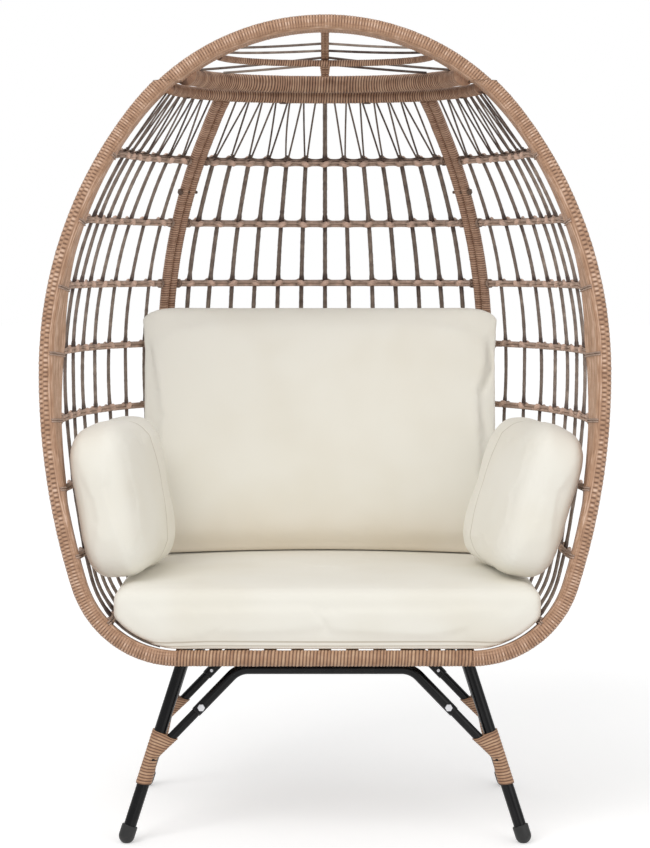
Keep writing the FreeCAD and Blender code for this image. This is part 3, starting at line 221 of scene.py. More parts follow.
@dataclass(frozen=True)
class EggShell:
    """The surface that the rim, posts and strands follow."""

    seat_underside: float = 0.314
    lean: float = math.radians(5.5)
    setback: float = 0.3096
    rim_radius: float = 0.014
    band_radius: float = 0.010
    band_depth: float = 0.046
    band_inset: float = 0.016
    seam_rise: float = 1.022
    post_radius: float = 0.0085
    post_angle: float = 51.0
    top_row: float = 0.895
    row_pitch: float = 0.1185
    row_count: int = 8
    front: EggCurve = EggCurve(0.254, 0.194, 0.500, 0.518, 1.146, 0.434)
    profile: EggCurve = EggCurve(0.440, 0.130, 0.600, 0.400, 1.146, 0.120)
    inset_foot: float = 0.25
    round_power: float = 2.3
    squarer: float = 3.7
    square_rise: float = 0.42
    rear_rises: tuple[float, ...] = (0.276, 0.32, 0.414, 0.564, 0.72, 0.905)
    rear_shares: tuple[float, ...] = (0.11, 0.36, 0.58, 1.05, 0.36, 0.0)
    cushion_gap: float = 0.0015
    probe: float = 0.006

    @property
    def rim_up(self) -> Array:
        """The direction up the plane of the rim."""
        return np.array([0.0, math.sin(self.lean), math.cos(self.lean)])

    @property
    def rim_back(self) -> Array:
        """The direction square to the plane of the rim, backwards."""
        return np.array([0.0, math.cos(self.lean), -math.sin(self.lean)])

    @property
    def head_rise(self) -> float:
        """The rise of the bars at the head of every panel."""
        return self.seam_rise - self.post_radius / math.cos(self.lean)

    @property
    def row_rises(self) -> Array:
        """The rises of the woven rows, top to bottom."""
        return self.top_row - self.row_pitch * np.arange(self.row_count)

    def level(self, rise: Array) -> Array:
        """Z of a rise."""
        return self.seat_underside + np.asarray(rise) * math.cos(self.lean)

    def plane(self, rise: Array) -> Array:
        """Y of the rim's plane at a rise."""
        return np.asarray(rise) * math.sin(self.lean) - self.setback

    def inset(self, rise: Array) -> Array:
        """How far inboard the rear tube of the rim stands, less towards both ends of the egg."""
        foot = np.clip(np.asarray(rise) / self.inset_foot, 0, 1)
        top = np.clip((self.front.total - np.asarray(rise)) / self.front.corner, 0, 1)
        return self.band_inset * foot * top

    def power(self, rise: Array) -> Array:
        """Roundness of the plan: round_power + squarer * (1 - rise / square_rise)^2, squarest at the seat."""
        square = np.clip(1 - np.asarray(rise) / self.square_rise, 0, None)
        return self.round_power + self.squarer * square**2

    def point(self, angle: Array, rise: Array, inset: float = 0.0) -> Array:
        """Points of the weave: X = half * cos^(2/power), Y = plane + depth * sin^(2/power), Z = level.

        Args:
            angle: Degrees round the plan from the right rim, 0, to the left rim, 180.
            rise: Distance up the plane of the rim from its underside.
            inset: Distance inside the outline.

        Returns:
            Points, one per row.
        """
        angle, rise = np.broadcast_arrays(np.radians(np.asarray(angle, float)), np.asarray(rise, float))
        half = self.front.half_at(rise, self.rim_radius + inset) - self.inset(rise)
        depth = self.profile.half_at(rise, self.rim_radius)
        share = 2 / self.power(rise)
        across = np.sign(np.cos(angle)) * np.abs(np.cos(angle)) ** share
        back = np.abs(np.sin(angle)) ** share
        return np.stack([half * across, self.plane(rise) + depth * back, self.level(rise)], axis=-1)

    def band_angle(self, rise: float) -> float:
        """Where the plan passes the rear tube of the rim."""
        share = self.band_depth / float(self.profile.half_at(rise, self.rim_radius))
        return math.degrees(math.asin(min(1, share) ** (float(self.power(rise)) / 2)))

    def spread(self, rise: float, first: float, last: float, shares: Array) -> Array:
        """Angles at shares of the length along the plan between two angles."""
        angles = np.linspace(first, last, 240)
        run = run_lengths(self.point(angles, rise))
        return np.interp(np.asarray(shares) * run[-1], run, angles)

    def ends(self, panel: Panel, rise: float) -> tuple[float, float]:
        """The first and last angle of a panel at a rise."""
        if panel is Panel.FLANK:
            return self.band_angle(rise), self.post_angle
        return self.post_angle, 180 - self.post_angle

    def along(self, angle: float, rise: Array) -> Array:
        """The level direction along the plan, from the right rim towards the left."""
        return unit(self.point(angle + 0.2, rise) - self.point(angle - 0.2, rise))

    def climb(self, angle: Array, rise: Array) -> Array:
        """A short step up the weave: the point a probe above less the point a probe below."""
        return self.point(angle, rise + self.probe) - self.point(angle, rise - self.probe)

    def rear_share(self, rise: Array) -> Array:
        """How much of its inset the wound rear tube keeps at a rise: it hides behind the front tube high up."""
        return np.interp(rise, self.rear_rises, self.rear_shares)

    def rear_tube(self, rise: float) -> Array:
        """The middle of the wound rear tube on the right-hand side."""
        inboard = float(self.inset(rise) * self.rear_share(rise))
        half = float(self.front.half_at(rise, self.rim_radius)) - inboard
        middle = np.array([half, float(self.plane(rise)), float(self.level(rise))])
        return middle + self.rim_back * self.band_depth

    def held(self, points: Array, room: float) -> Array:
        """Points held inside the rim and the weave: |X| <= half * (1 - (depth share)^power)^(1 / power).

        Args:
            points: Points on either side of the chair.
            room: Distance kept from the surface that the strands follow.

        Returns:
            The same points, those too far out moved straight inwards.
        """
        x, y, z = points.T
        rise = (z - self.seat_underside) / math.cos(self.lean)
        back = y - self.plane(rise)
        outer = self.front.half_at(rise, self.rim_radius)
        half = outer - self.inset(rise) - room
        depth = self.profile.half_at(rise, self.rim_radius) - room
        power = self.power(rise)
        share = np.clip(back / depth, 0, 1)
        weave = half * (1 - share**power) ** (1 / power)
        inboard = self.inset(rise) * self.rear_share(rise) * np.clip(back / self.band_depth, 0, 1)
        rim = outer - self.rim_radius - self.cushion_gap - inboard
        most = np.where(back < self.band_depth + self.band_radius, rim, weave)
        return np.stack([np.clip(x, -most, most), y, z], axis=1)


SHELL = EggShell()


# ------------ meshes


def in_scene(name: str, data: bpy.types.ID) -> Object:
    """A new object that shows a mesh, a lamp or a camera."""
    thing = bpy.data.objects.new(name, data)
    bpy.context.scene.collection.objects.link(thing)
    return thing


@dataclass
class Bundle:
    """Grids of points gathered into one mesh, with a winding map and two values at each point."""

    points: list[Array] = field(default_factory=list)
    corners: list[Array] = field(default_factory=list)
    sizes: list[Array] = field(default_factory=list)
    maps: list[Array] = field(default_factory=list)
    tones: list[Array] = field(default_factory=list)
    reliefs: list[Array] = field(default_factory=list)
    count: int = 0

    def add_rings(
        self, rings: Array, along: Array, around: Array, tone: Array | float, relief: Array | float = 1.0,
        flip: bool = False,
    ) -> "Bundle":
        """Adds a closed tube through rings of points, its ends closed by fans.

        Args:
            rings: Points, one ring per row, counter-clockwise seen from ahead.
            along: First map value, one per ring or one per point with a last column that closes it.
            around: Second map value round a ring, one more than its points.
            tone: Shade from 0 to 1, one for the piece or one per ring.
            relief: Depth of the winding at each point.
            flip: Whether the rings run clockwise.

        Returns:
            The same bundle.
        """
        rows, columns = rings.shape[:2]
        first = along[:, None] if along.ndim == 1 else along
        uv = np.stack([np.broadcast_to(value, (rows, columns + 1)) for value in (first, around)], axis=-1)
        row, column = np.meshgrid(np.arange(rows - 1), np.arange(columns), indexing="ij")
        turns = ((row, column), (row, column + 1), (row + 1, column + 1), (row + 1, column))
        quads = np.stack([ring * columns + spot % columns for ring, spot in turns], axis=-1).reshape(-1, 4)
        maps = np.stack([uv[corner] for corner in turns], axis=-2).reshape(-1, 4, 2)
        spot, pole, last = np.arange(columns), np.full(columns, rows * columns), (rows - 1) * columns
        after = (spot + 1) % columns
        foot, head = uv[0], uv[-1]
        low, high = (pole, after, spot), (pole + 1, last + spot, last + after)
        fans = join([np.stack(low, axis=-1), np.stack(high, axis=-1)])
        fan_maps = join(
            [
                np.stack([foot[:-1], foot[1:], foot[:-1]], axis=1),
                np.stack([head[:-1], head[:-1], head[1:]], axis=1),
            ]
        )
        if flip:
            quads, maps, fans, fan_maps = (faces[:, ::-1] for faces in (quads, maps, fans, fan_maps))
        middles = np.stack([rings[0].mean(axis=0), rings[-1].mean(axis=0)])
        self.points.append(join([rings.reshape(-1, 3), middles]))
        self.corners.append(join([quads.reshape(-1), fans.reshape(-1)]) + self.count)
        self.sizes.append(np.repeat([4, 3], [len(quads), len(fans)]))
        self.maps.append(join([maps.reshape(-1, 2), fan_maps.reshape(-1, 2)]))
        shade = np.broadcast_to(np.reshape(tone, (-1, 1)), (rows, columns)).reshape(-1)
        self.tones.append(join([shade, shade[[0, -1]]]))
        deep = np.broadcast_to(relief, (rows, columns)).reshape(-1)
        self.reliefs.append(join([deep, [0.0, 0.0]]))
        self.count += rows * columns + 2
        return self

    def piece(self, name: str) -> Object:
        """The gathered mesh as one object with its map and values."""
        mesh = bpy.data.meshes.new(name)
        points, corners, sizes = join(self.points), join(self.corners), join(self.sizes)
        mesh.vertices.add(len(points))
        mesh.vertices.foreach_set("co", points.astype(np.float32).reshape(-1))
        mesh.loops.add(len(corners))
        mesh.loops.foreach_set("vertex_index", corners.astype(np.int32))
        mesh.polygons.add(len(sizes))
        mesh.polygons.foreach_set("loop_start", (np.cumsum(sizes) - sizes).astype(np.int32))
        mesh.polygons.foreach_set("loop_total", sizes.astype(np.int32))
        mesh.update(calc_edges=True)
        layer = mesh.uv_layers.new(name="winding")
        layer.uv.foreach_set("vector", join(self.maps).astype(np.float32).reshape(-1))
        for label, values in (("tone", self.tones), ("relief", self.reliefs)):
            attribute = mesh.attributes.new(label, "FLOAT", "POINT")
            attribute.data.foreach_set("value", join(values).astype(np.float32))
        mesh.shade_smooth()
        mesh.validate()
        return in_scene(name, mesh)

    def place(self, name: str, slot: str, material: Material, node: str) -> None:
        """The gathered mesh as a piece of the chair itself, in the place of a CAD node."""
        place(self.piece(name), "chair", material, node)


def place(piece: Object, body: str, material: Material, node: str) -> None:
    """Dresses a piece, lets it ride on a body and puts it in the place of its CAD node.

    Args:
        piece: The finished object.
        body: The body that carries it.
        material: Its finish.
        node: The CAD node that it stands for.
    """
    piece.data.materials.append(material)
    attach(piece, body)
    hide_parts(node)
    LOG.info("%s: %d vertices", piece.name, len(piece.data.vertices))


@dataclass(frozen=True)
class Winding:
    """Half-round strips wound side by side round a tube."""

    pitch: float = 0.0084
    depth: float = 0.0012
    wander: float = 0.35
    step: float = 0.0014
    seed: int = 1
    drift_step: float = 0.05
    shades: int = 4096

    def wind(self, run: Array, around: Array, weight: Array | float) -> tuple[Array, Array]:
        """Swell and phase: phase = run / pitch + turn + wander, swell = depth * (1 - |2f - 1|^2.6).

        Args:
            run: Distance along the tube at each ring.
            around: Turns, or shift in pitches, at each point of a ring or of every ring, with the closing one.
            weight: How much of the depth each point gets.

        Returns:
            Height of the strip and its phase at each point, both with the closing column.
        """
        rng = np.random.default_rng(self.seed)
        knots = rng.normal(0, self.wander, int(run[-1] / self.drift_step) + 3)
        drift = np.interp(run, np.arange(len(knots)) * self.drift_step, knots)
        phase = run[:, None] / self.pitch + drift[:, None] + around + 40
        height = rng.uniform(0.55, 1.0, self.shades)[np.floor(phase).astype(int) % self.shades]
        crown = 1 - np.abs(2 * (phase % 1) - 1) ** 2.6
        return self.depth * height * crown * weight, phase


def wound_tube(
    bundle: Bundle, path: Array, side: Array, radius: float, winding: Winding, flip: bool = False,
    sides: int = 20, flare: float = 0.0,
) -> Bundle:
    """Adds a round tube wound with strips: radius + swell, round the path.

    Args:
        bundle: Where the tube goes.
        path: Points of its middle.
        side: Direction of the first point of each ring.
        radius: Radius to the foot of the winding.
        winding: The strips.
        flip: Whether the path is a mirror image.
        sides: Points round a ring.
        flare: How much fuller the tube is at its ends, where flare * exp(-(distance / 35 mm)^2) is added.

    Returns:
        The same bundle.
    """
    path = even_path(path, winding.step)
    _, first, second = path_frames(path, side)
    run = run_lengths(path)
    around = np.linspace(0, 1, sides + 1)
    swell, phase = winding.wind(run, around, 1.0)
    turn = around[:-1] * math.tau * (-1 if flip else 1)
    fuller = flare * np.exp(-((np.minimum(run, run[-1] - run) / 0.035) ** 2))
    reach = (radius + fuller[:, None] + swell[:, :-1])[..., None]
    ring = first[:, None] * np.cos(turn)[None, :, None] + second[:, None] * np.sin(turn)[None, :, None]
    rings = path[:, None] + ring * reach
    return bundle.add_rings(rings, phase, around * math.tau * radius, 0.5, flip=flip)


def round_strand(
    bundle: Bundle, path: Array, side: Array, radius: Array | float, tone: Array | float, sides: int = 8,
    depth: Array | float = 1.0,
) -> None:
    """Adds a strand: radius * (side * cos + depth * square * sin) round every point of the path.

    Args:
        bundle: Where the strand goes.
        path: Points of its middle.
        side: The first direction across it.
        radius: Half its width along the first direction.
        tone: Shade of the strand, or of each ring.
        sides: Points round a ring.
        depth: Its thickness square to the first direction, as a share of its width.
    """
    _, first, second = path_frames(path, side)
    turn = np.linspace(0, math.tau, sides, endpoint=False)
    reach, thick = (np.broadcast_to(size, (len(path),))[:, None, None] for size in (radius, depth))
    cosine, sine = np.cos(turn)[None, :, None], np.sin(turn)[None, :, None]
    around = first[:, None] * cosine + second[:, None] * sine * thick
    along = run_lengths(path) + 3.17 * len(bundle.points)
    bundle.add_rings(path[:, None] + around * reach, along, np.linspace(0, 1, sides + 1), tone)


def mirror(points: Array, side: Side) -> Array:
    """Points on the wanted side of the chair."""
    return points * np.array([side.value, 1, 1])


# ------------ finishes


class Shading:
    """Builds a node tree one node at a time."""

    def __init__(self, tree: NodeTree) -> None:
        """Starts on an empty tree."""
        self.tree = tree

    def add(self, kind: str, inputs: dict | None = None, **settings: object) -> Node:
        """Adds a node.

        Args:
            kind: Blender's name for the node.
            inputs: Values or sockets, by the name or number of the input.
            settings: Properties of the node.

        Returns:
            The node.
        """
        node = self.tree.nodes.new(kind)
        for name, value in settings.items():
            setattr(node, name, value)
        for name, value in (inputs or {}).items():
            socket = node.inputs[name]
            if isinstance(value, Socket):
                self.tree.links.new(value, socket)
            else:
                socket.default_value = value
        return node

    def sum(self, operation: str, *values: object) -> Socket:
        """The result of a sum on up to three values."""
        return self.add("ShaderNodeMath", dict(enumerate(values)), operation=operation).outputs[0]

    def blend(self, share: object, one: object, two: object, how: str = "MIX") -> Socket:
        """One colour mixed into another."""
        node = self.add("ShaderNodeMix", {0: share, 6: one, 7: two}, data_type="RGBA", blend_type=how)
        return node.outputs[2]

    def band(self, value: object, low: float, high: float) -> Socket:
        """A smooth rise from 0 to 1 between two values."""
        inputs = {"Value": value, "From Min": low, "From Max": high}
        return self.add("ShaderNodeMapRange", inputs, interpolation_type="SMOOTHSTEP").outputs[0]

    def noise(self, vector: object, scale: float, detail: float = 2.0) -> Socket:
        """Grey noise on a vector."""
        inputs = {"Vector": vector, "Scale": scale, "Detail": detail}
        return self.add("ShaderNodeTexNoise", inputs).outputs["Fac"]

    def vector(self, *parts: object) -> Socket:
        """A vector from its parts."""
        return self.add("ShaderNodeCombineXYZ", dict(enumerate(parts))).outputs[0]

    def times(self, one: object, two: object) -> Socket:
        """One value times another."""
        return self.sum("MULTIPLY", one, two)

    def scaled(self, value: object, factor: object, start: object) -> Socket:
        """A value times a factor, plus a start."""
        return self.sum("MULTIPLY_ADD", value, factor, start)

    def less(self, one: object, two: object) -> Socket:
        """One value less another."""
        return self.sum("SUBTRACT", one, two)

    def attribute(self, name: str) -> Socket:
        """A value kept at each point of the mesh."""
        return self.add("ShaderNodeAttribute", attribute_name=name).outputs["Fac"]

    def parts(self, vector: object) -> list[Socket]:
        """The parts of a vector."""
        return list(self.add("ShaderNodeSeparateXYZ", {0: vector}).outputs)

    def winding_map(self) -> list[Socket]:
        """The winding map: distance or phase along the piece, and place round it."""
        return self.parts(self.add("ShaderNodeUVMap", uv_map="winding").outputs[0])[:2]

    def object_place(self) -> Socket:
        """The place on the object, in metres."""
        return self.add("ShaderNodeTexCoord").outputs["Object"]

    def shades(self, value: object, given: Node) -> Socket:
        """A cane's colour: dark to middle from 0.15 to 0.5, and middle to light from 0.5 to 0.95."""
        colour = self.blend(self.band(value, 0.15, 0.5), given.outputs["Dark"], given.outputs["Middle"])
        return self.blend(self.band(value, 0.5, 0.95), colour, given.outputs["Light"])

    def cane(self, result: Node, colour: object, fibre: object, height: object) -> NodeTree:
        """Closes a cane's group with its colour, a roughness of 0.36 + 0.25 * fibre and its height."""
        rough = self.scaled(fibre, 0.25, 0.36)
        for label, socket in zip(SURFACE, (colour, rough, height)):
            self.tree.links.new(socket, result.inputs[label])
        return self.tree

    def bump(self, strength: float, distance: float, height: object) -> Socket:
        """The normal that a height gives."""
        inputs = {"Strength": strength, "Distance": distance, "Height": height}
        return self.add("ShaderNodeBump", inputs).outputs[0]

    def surface(self, inputs: dict) -> None:
        """The Principled shader and the material's output."""
        shader = self.add("ShaderNodeBsdfPrincipled", inputs)
        self.add("ShaderNodeOutputMaterial", {0: shader.outputs[0]})


def empty_tree(owner: Material | bpy.types.World) -> Shading:
    """The builder of a material's or a world's tree, emptied."""
    owner.use_nodes = True
    owner.node_tree.nodes.clear()
    return Shading(owner.node_tree)


def solid(colour: Colour) -> tuple[float, float, float, float]:
    """A colour with full alpha."""
    return (*colour, 1.0)


COLOUR, VALUE = "NodeSocketColor", "NodeSocketFloat"
SHADES = {"Light": COLOUR, "Middle": COLOUR, "Dark": COLOUR, "Gap": COLOUR}
SURFACE = {"Colour": COLOUR, "Roughness": VALUE, "Height": VALUE}


def cane_group(name: str) -> tuple[Shading, Node, Node]:
    """An empty group from four shades to a surface: its builder, its input node and its output node."""
    tree = bpy.data.node_groups.new(name, "ShaderNodeTree")
    for way, sockets in (("INPUT", SHADES), ("OUTPUT", SURFACE)):
        for label, kind in sockets.items():
            tree.interface.new_socket(label, in_out=way, socket_type=kind)
    work = Shading(tree)
    return work, work.add("NodeGroupInput"), work.add("NodeGroupOutput")


def winding_group() -> NodeTree:
    """Strips by the winding map: one shade for each strip, fibres along it, a painted highlight along each
    strip's top and shade in the gaps.
    """
    work, given, result = cane_group("wound strips")
    phase, around = work.winding_map()
    relief = work.attribute("relief")
    strip, share = work.sum("FLOOR", phase), work.sum("FRACT", phase)
    edge = work.less(1.0, work.sum("ABSOLUTE", work.scaled(share, 2.0, -1.0)))
    clear = work.band(edge, 0.03, 0.55)
    # Painted highlight: each strip or bead is lighter along its top and darker towards its edges.
    top = work.scaled(work.times(edge, relief), 0.60, -0.27)
    shade = work.add("ShaderNodeTexWhiteNoise", {"W": strip}, noise_dimensions="1D").outputs["Value"]
    looks = ((7.0, 45.0, strip, 3.0), (0.35, 60.0, 0.0, 2.0), (0.16, 380.0, 3.0, 3.0))
    fibre, patch, streak = (
        work.noise(work.vector(work.times(phase, along), work.times(around, across), third), 1.0, detail)
        for along, across, third, detail in looks
    )
    wound = work.scaled(shade, 0.30, work.scaled(fibre, 0.85, -0.10))
    wound = work.sum("ADD", wound, top)
    smooth = work.scaled(streak, 1.9, -0.42)
    mixed = work.add("ShaderNodeMix", {0: relief, 2: smooth, 3: wound}).outputs[0]
    mixed = work.sum("ADD", mixed, work.scaled(patch, 0.7, -0.35))
    gap = work.times(work.less(1.0, clear), work.times(relief, 0.85))
    colour = work.blend(gap, work.shades(mixed, given), given.outputs["Gap"])
    height = work.scaled(clear, work.times(relief, 0.5), work.times(fibre, 0.5))
    return work.cane(result, colour, fibre, height)


def fibre_group() -> NodeTree:
    """Fibres along a strand by the winding map, and a shade for each strand or ring from its tone, which also
    carries the painted highlight and shade that the weave gives its rows and uprights.
    """
    work, given, result = cane_group("strand fibres")
    along, around = work.winding_map()
    tone = work.attribute("tone")
    turn = work.times(around, math.tau)
    ring = (work.times(work.sum(wave, turn), 1.3) for wave in ("COSINE", "SINE"))
    fibre = work.noise(work.vector(work.times(along, 22.0), *ring), 2.0, 3.0)
    patch = work.noise(work.vector(work.times(along, 60.0), 0.0, 0.0), 1.0, 1.0)
    # The tone holds each strand's own shade together with painted highlight and painted shade.
    mixed = work.scaled(tone, 0.7, work.scaled(fibre, 0.8, -0.2))
    mixed = work.sum("ADD", mixed, work.scaled(patch, 0.9, -0.45))
    gap = work.times(work.band(fibre, 0.5, 0.2), 0.5)
    colour = work.blend(gap, work.shades(mixed, given), given.outputs["Gap"])
    return work.cane(result, colour, fibre, fibre)


@dataclass(frozen=True)
class WickerFinish:
    """Woven resin cane: four shades and the group that lays them out."""

    name: str
    light: Colour
    middle: Colour
    dark: Colour
    gap: Colour
    bump: float = 0.35

    def build(self, group: NodeTree) -> Material:
        """The material, its colour, roughness and bump from the group."""
        material = bpy.data.materials.new(self.name)
        work = empty_tree(material)
        layout = work.add("ShaderNodeGroup", node_tree=group)
        for label, colour in zip(SHADES, (self.light, self.middle, self.dark, self.gap)):
            layout.inputs[label].default_value = solid(colour)
        work.surface(
            {
                "Base Color": layout.outputs["Colour"],
                "Roughness": layout.outputs["Roughness"],
                "Normal": work.bump(self.bump, 0.0006, layout.outputs["Height"]),
                "Specular IOR Level": 0.35,
            }
        )
        return material


@dataclass(frozen=True)
class PaintFinish:
    """Metal or rubber: a colour that varies a little, fine grain and worn patches by noise."""

    name: str
    colour: Colour
    worn: Colour
    metallic: float
    roughness: float
    spread: float
    grain: float
    shine: float = 0.5

    def build(self) -> Material:
        """The material, read from object coordinates."""
        material = bpy.data.materials.new(self.name)
        work = empty_tree(material)
        spot = work.object_place()
        patch = work.noise(spot, 38.0, 4.0)
        fine = work.noise(spot, 900.0, 3.0)
        work.surface(
            {
                "Base Color": work.blend(work.band(patch, 0.45, 0.75), solid(self.colour), solid(self.worn)),
                "Roughness": work.scaled(patch, self.spread, self.roughness - self.spread / 2),
                "Metallic": self.metallic,
                "Specular IOR Level": self.shine,
                "Normal": work.bump(self.grain, 0.0002, fine),
            }
        )
        return material


@dataclass(frozen=True)
class ClothFinish:
    """Ivory cushion cloth: a plain weave of threads, slubs, soft folds of shade and a fine line at the seam;
    given a foot level, also painted warm shade that deepens towards the cushion's foot.
    """

    name: str
    colour: Colour
    shade: Colour
    seam: Colour
    twin: float = 0.0
    thread: float = 0.0009
    # The level of the cushion's foot, and the reach, strength and colour of the painted shade above it.
    foot: float | None = None
    foot_reach: float = 0.16
    foot_share: float = 0.34
    foot_colour: Colour = (0.66, 0.50, 0.33)

    def build(self) -> Material:
        """The material, read from object coordinates and the mesh's distance from the seam."""
        material = bpy.data.materials.new(self.name)
        work = empty_tree(material)
        spot = work.object_place()
        axes = work.parts(spot)
        x, y, z = (work.sum("SINE", work.times(axis, math.tau / self.thread)) for axis in axes)
        weave = work.sum("ADD", work.times(x, z), work.times(y, z))
        slub = work.noise(spot, 420.0, 3.0)
        cloud = work.noise(spot, 6.0, 2.0)
        shade = solid(self.shade)
        colour = work.blend(work.band(cloud, 0.35, 0.75), solid(self.colour), shade)
        colour = work.blend(work.times(work.band(slub, 0.55, 0.8), 0.25), colour, shade)
        # Painted shade: the colour turns towards a warm tan near the cushion's foot, deepest where it meets the
        # seat.
        if self.foot is not None:
            low = work.band(axes[2], self.foot + self.foot_reach, self.foot)
            low = work.times(work.times(low, low), self.foot_share)
            colour = work.blend(low, colour, solid(self.foot_colour))
        stitch = work.sum("ABSOLUTE", work.attribute("stitch"))
        apart = work.sum("ABSOLUTE", work.less(stitch, self.twin))
        line = work.less(1.0, work.band(apart, 0.0004, 0.0015))
        work.surface(
            {
                "Base Color": work.blend(work.times(line, 0.75), colour, solid(self.seam)),
                "Roughness": work.scaled(slub, 0.2, 0.72),
                "Sheen Weight": 0.25,
                "Sheen Roughness": 0.5,
                "Specular IOR Level": 0.2,
                "Normal": work.bump(0.25, 0.0004, work.scaled(weave, 0.15, slub)),
            }
        )
        return material


@dataclass(frozen=True)
class Palette:
    """Every finish of the chair."""

    rim: Material
    honey: Material
    bar_honey: Material
    post: Material
    row: Material
    dark: Material
    steel: Material
    rubber: Material
    strap: Material
    dull_bolt: Material
    bolt: Material
    cloth: Material
    seat_cloth: Material
    back_cloth: Material

    @staticmethod
    def mix() -> "Palette":
        """Builds the finishes from their recipes."""
        strips, fibres = winding_group(), fibre_group()
        pale, ivory, line = (0.86, 0.835, 0.755), (0.82, 0.785, 0.69), (0.50, 0.44, 0.35)
        return Palette(
            rim=WickerFinish(
                "rim cane", (0.75, 0.53, 0.40), (0.47, 0.275, 0.172), (0.31, 0.17, 0.10), (0.14, 0.075, 0.045)
            ).build(strips),
            honey=WickerFinish(
                "honey cane", (0.60, 0.40, 0.26), (0.43, 0.245, 0.145), (0.28, 0.145, 0.085),
                (0.12, 0.065, 0.04),
            ).build(strips),
            bar_honey=WickerFinish(
                "bar cane", (0.56, 0.37, 0.25), (0.40, 0.225, 0.14), (0.18, 0.09, 0.055), (0.035, 0.018, 0.012)
            ).build(strips),
            post=WickerFinish(
                "post cane", (0.58, 0.38, 0.27), (0.40, 0.235, 0.155), (0.24, 0.13, 0.08), (0.13, 0.065, 0.04)
            ).build(strips),
            row=WickerFinish(
                "row cane", (0.68, 0.47, 0.37), (0.42, 0.30, 0.235), (0.11, 0.066, 0.047), (0.045, 0.028, 0.02)
            ).build(fibres),
            dark=WickerFinish(
                "dark strand", (0.33, 0.26, 0.21), (0.18, 0.135, 0.11), (0.06, 0.036, 0.029),
                (0.03, 0.018, 0.014),
            ).build(fibres),
            steel=PaintFinish(
                "black steel", (0.005, 0.005, 0.0055), (0.009, 0.009, 0.010), 0.0, 0.17, 0.10, 0.05, 0.22
            ).build(),
            rubber=PaintFinish(
                "foot rubber", (0.014, 0.014, 0.014), (0.028, 0.028, 0.028), 0.0, 0.5, 0.25, 0.3
            ).build(),
            strap=PaintFinish(
                "rattan strap", (0.3, 0.17, 0.1), (0.42, 0.26, 0.16), 0.0, 0.5, 0.2, 0.3
            ).build(),
            dull_bolt=PaintFinish(
                "dull bolt", (0.1, 0.06, 0.04), (0.16, 0.1, 0.07), 0.3, 0.5, 0.2, 0.1
            ).build(),
            bolt=PaintFinish(
                "bolt steel", (0.62, 0.62, 0.64), (0.45, 0.45, 0.47), 1.0, 0.3, 0.2, 0.1
            ).build(),
            cloth=ClothFinish("ivory cloth", pale, ivory, line).build(),
            seat_cloth=ClothFinish("ivory seat cloth", pale, ivory, line, twin=0.0026).build(),
            # The back cushion's cloth carries painted warm shade at its foot.
            back_cloth=ClothFinish("ivory back cloth", pale, ivory, line, foot=0.4561).build(),
        )


# ------------ the frame


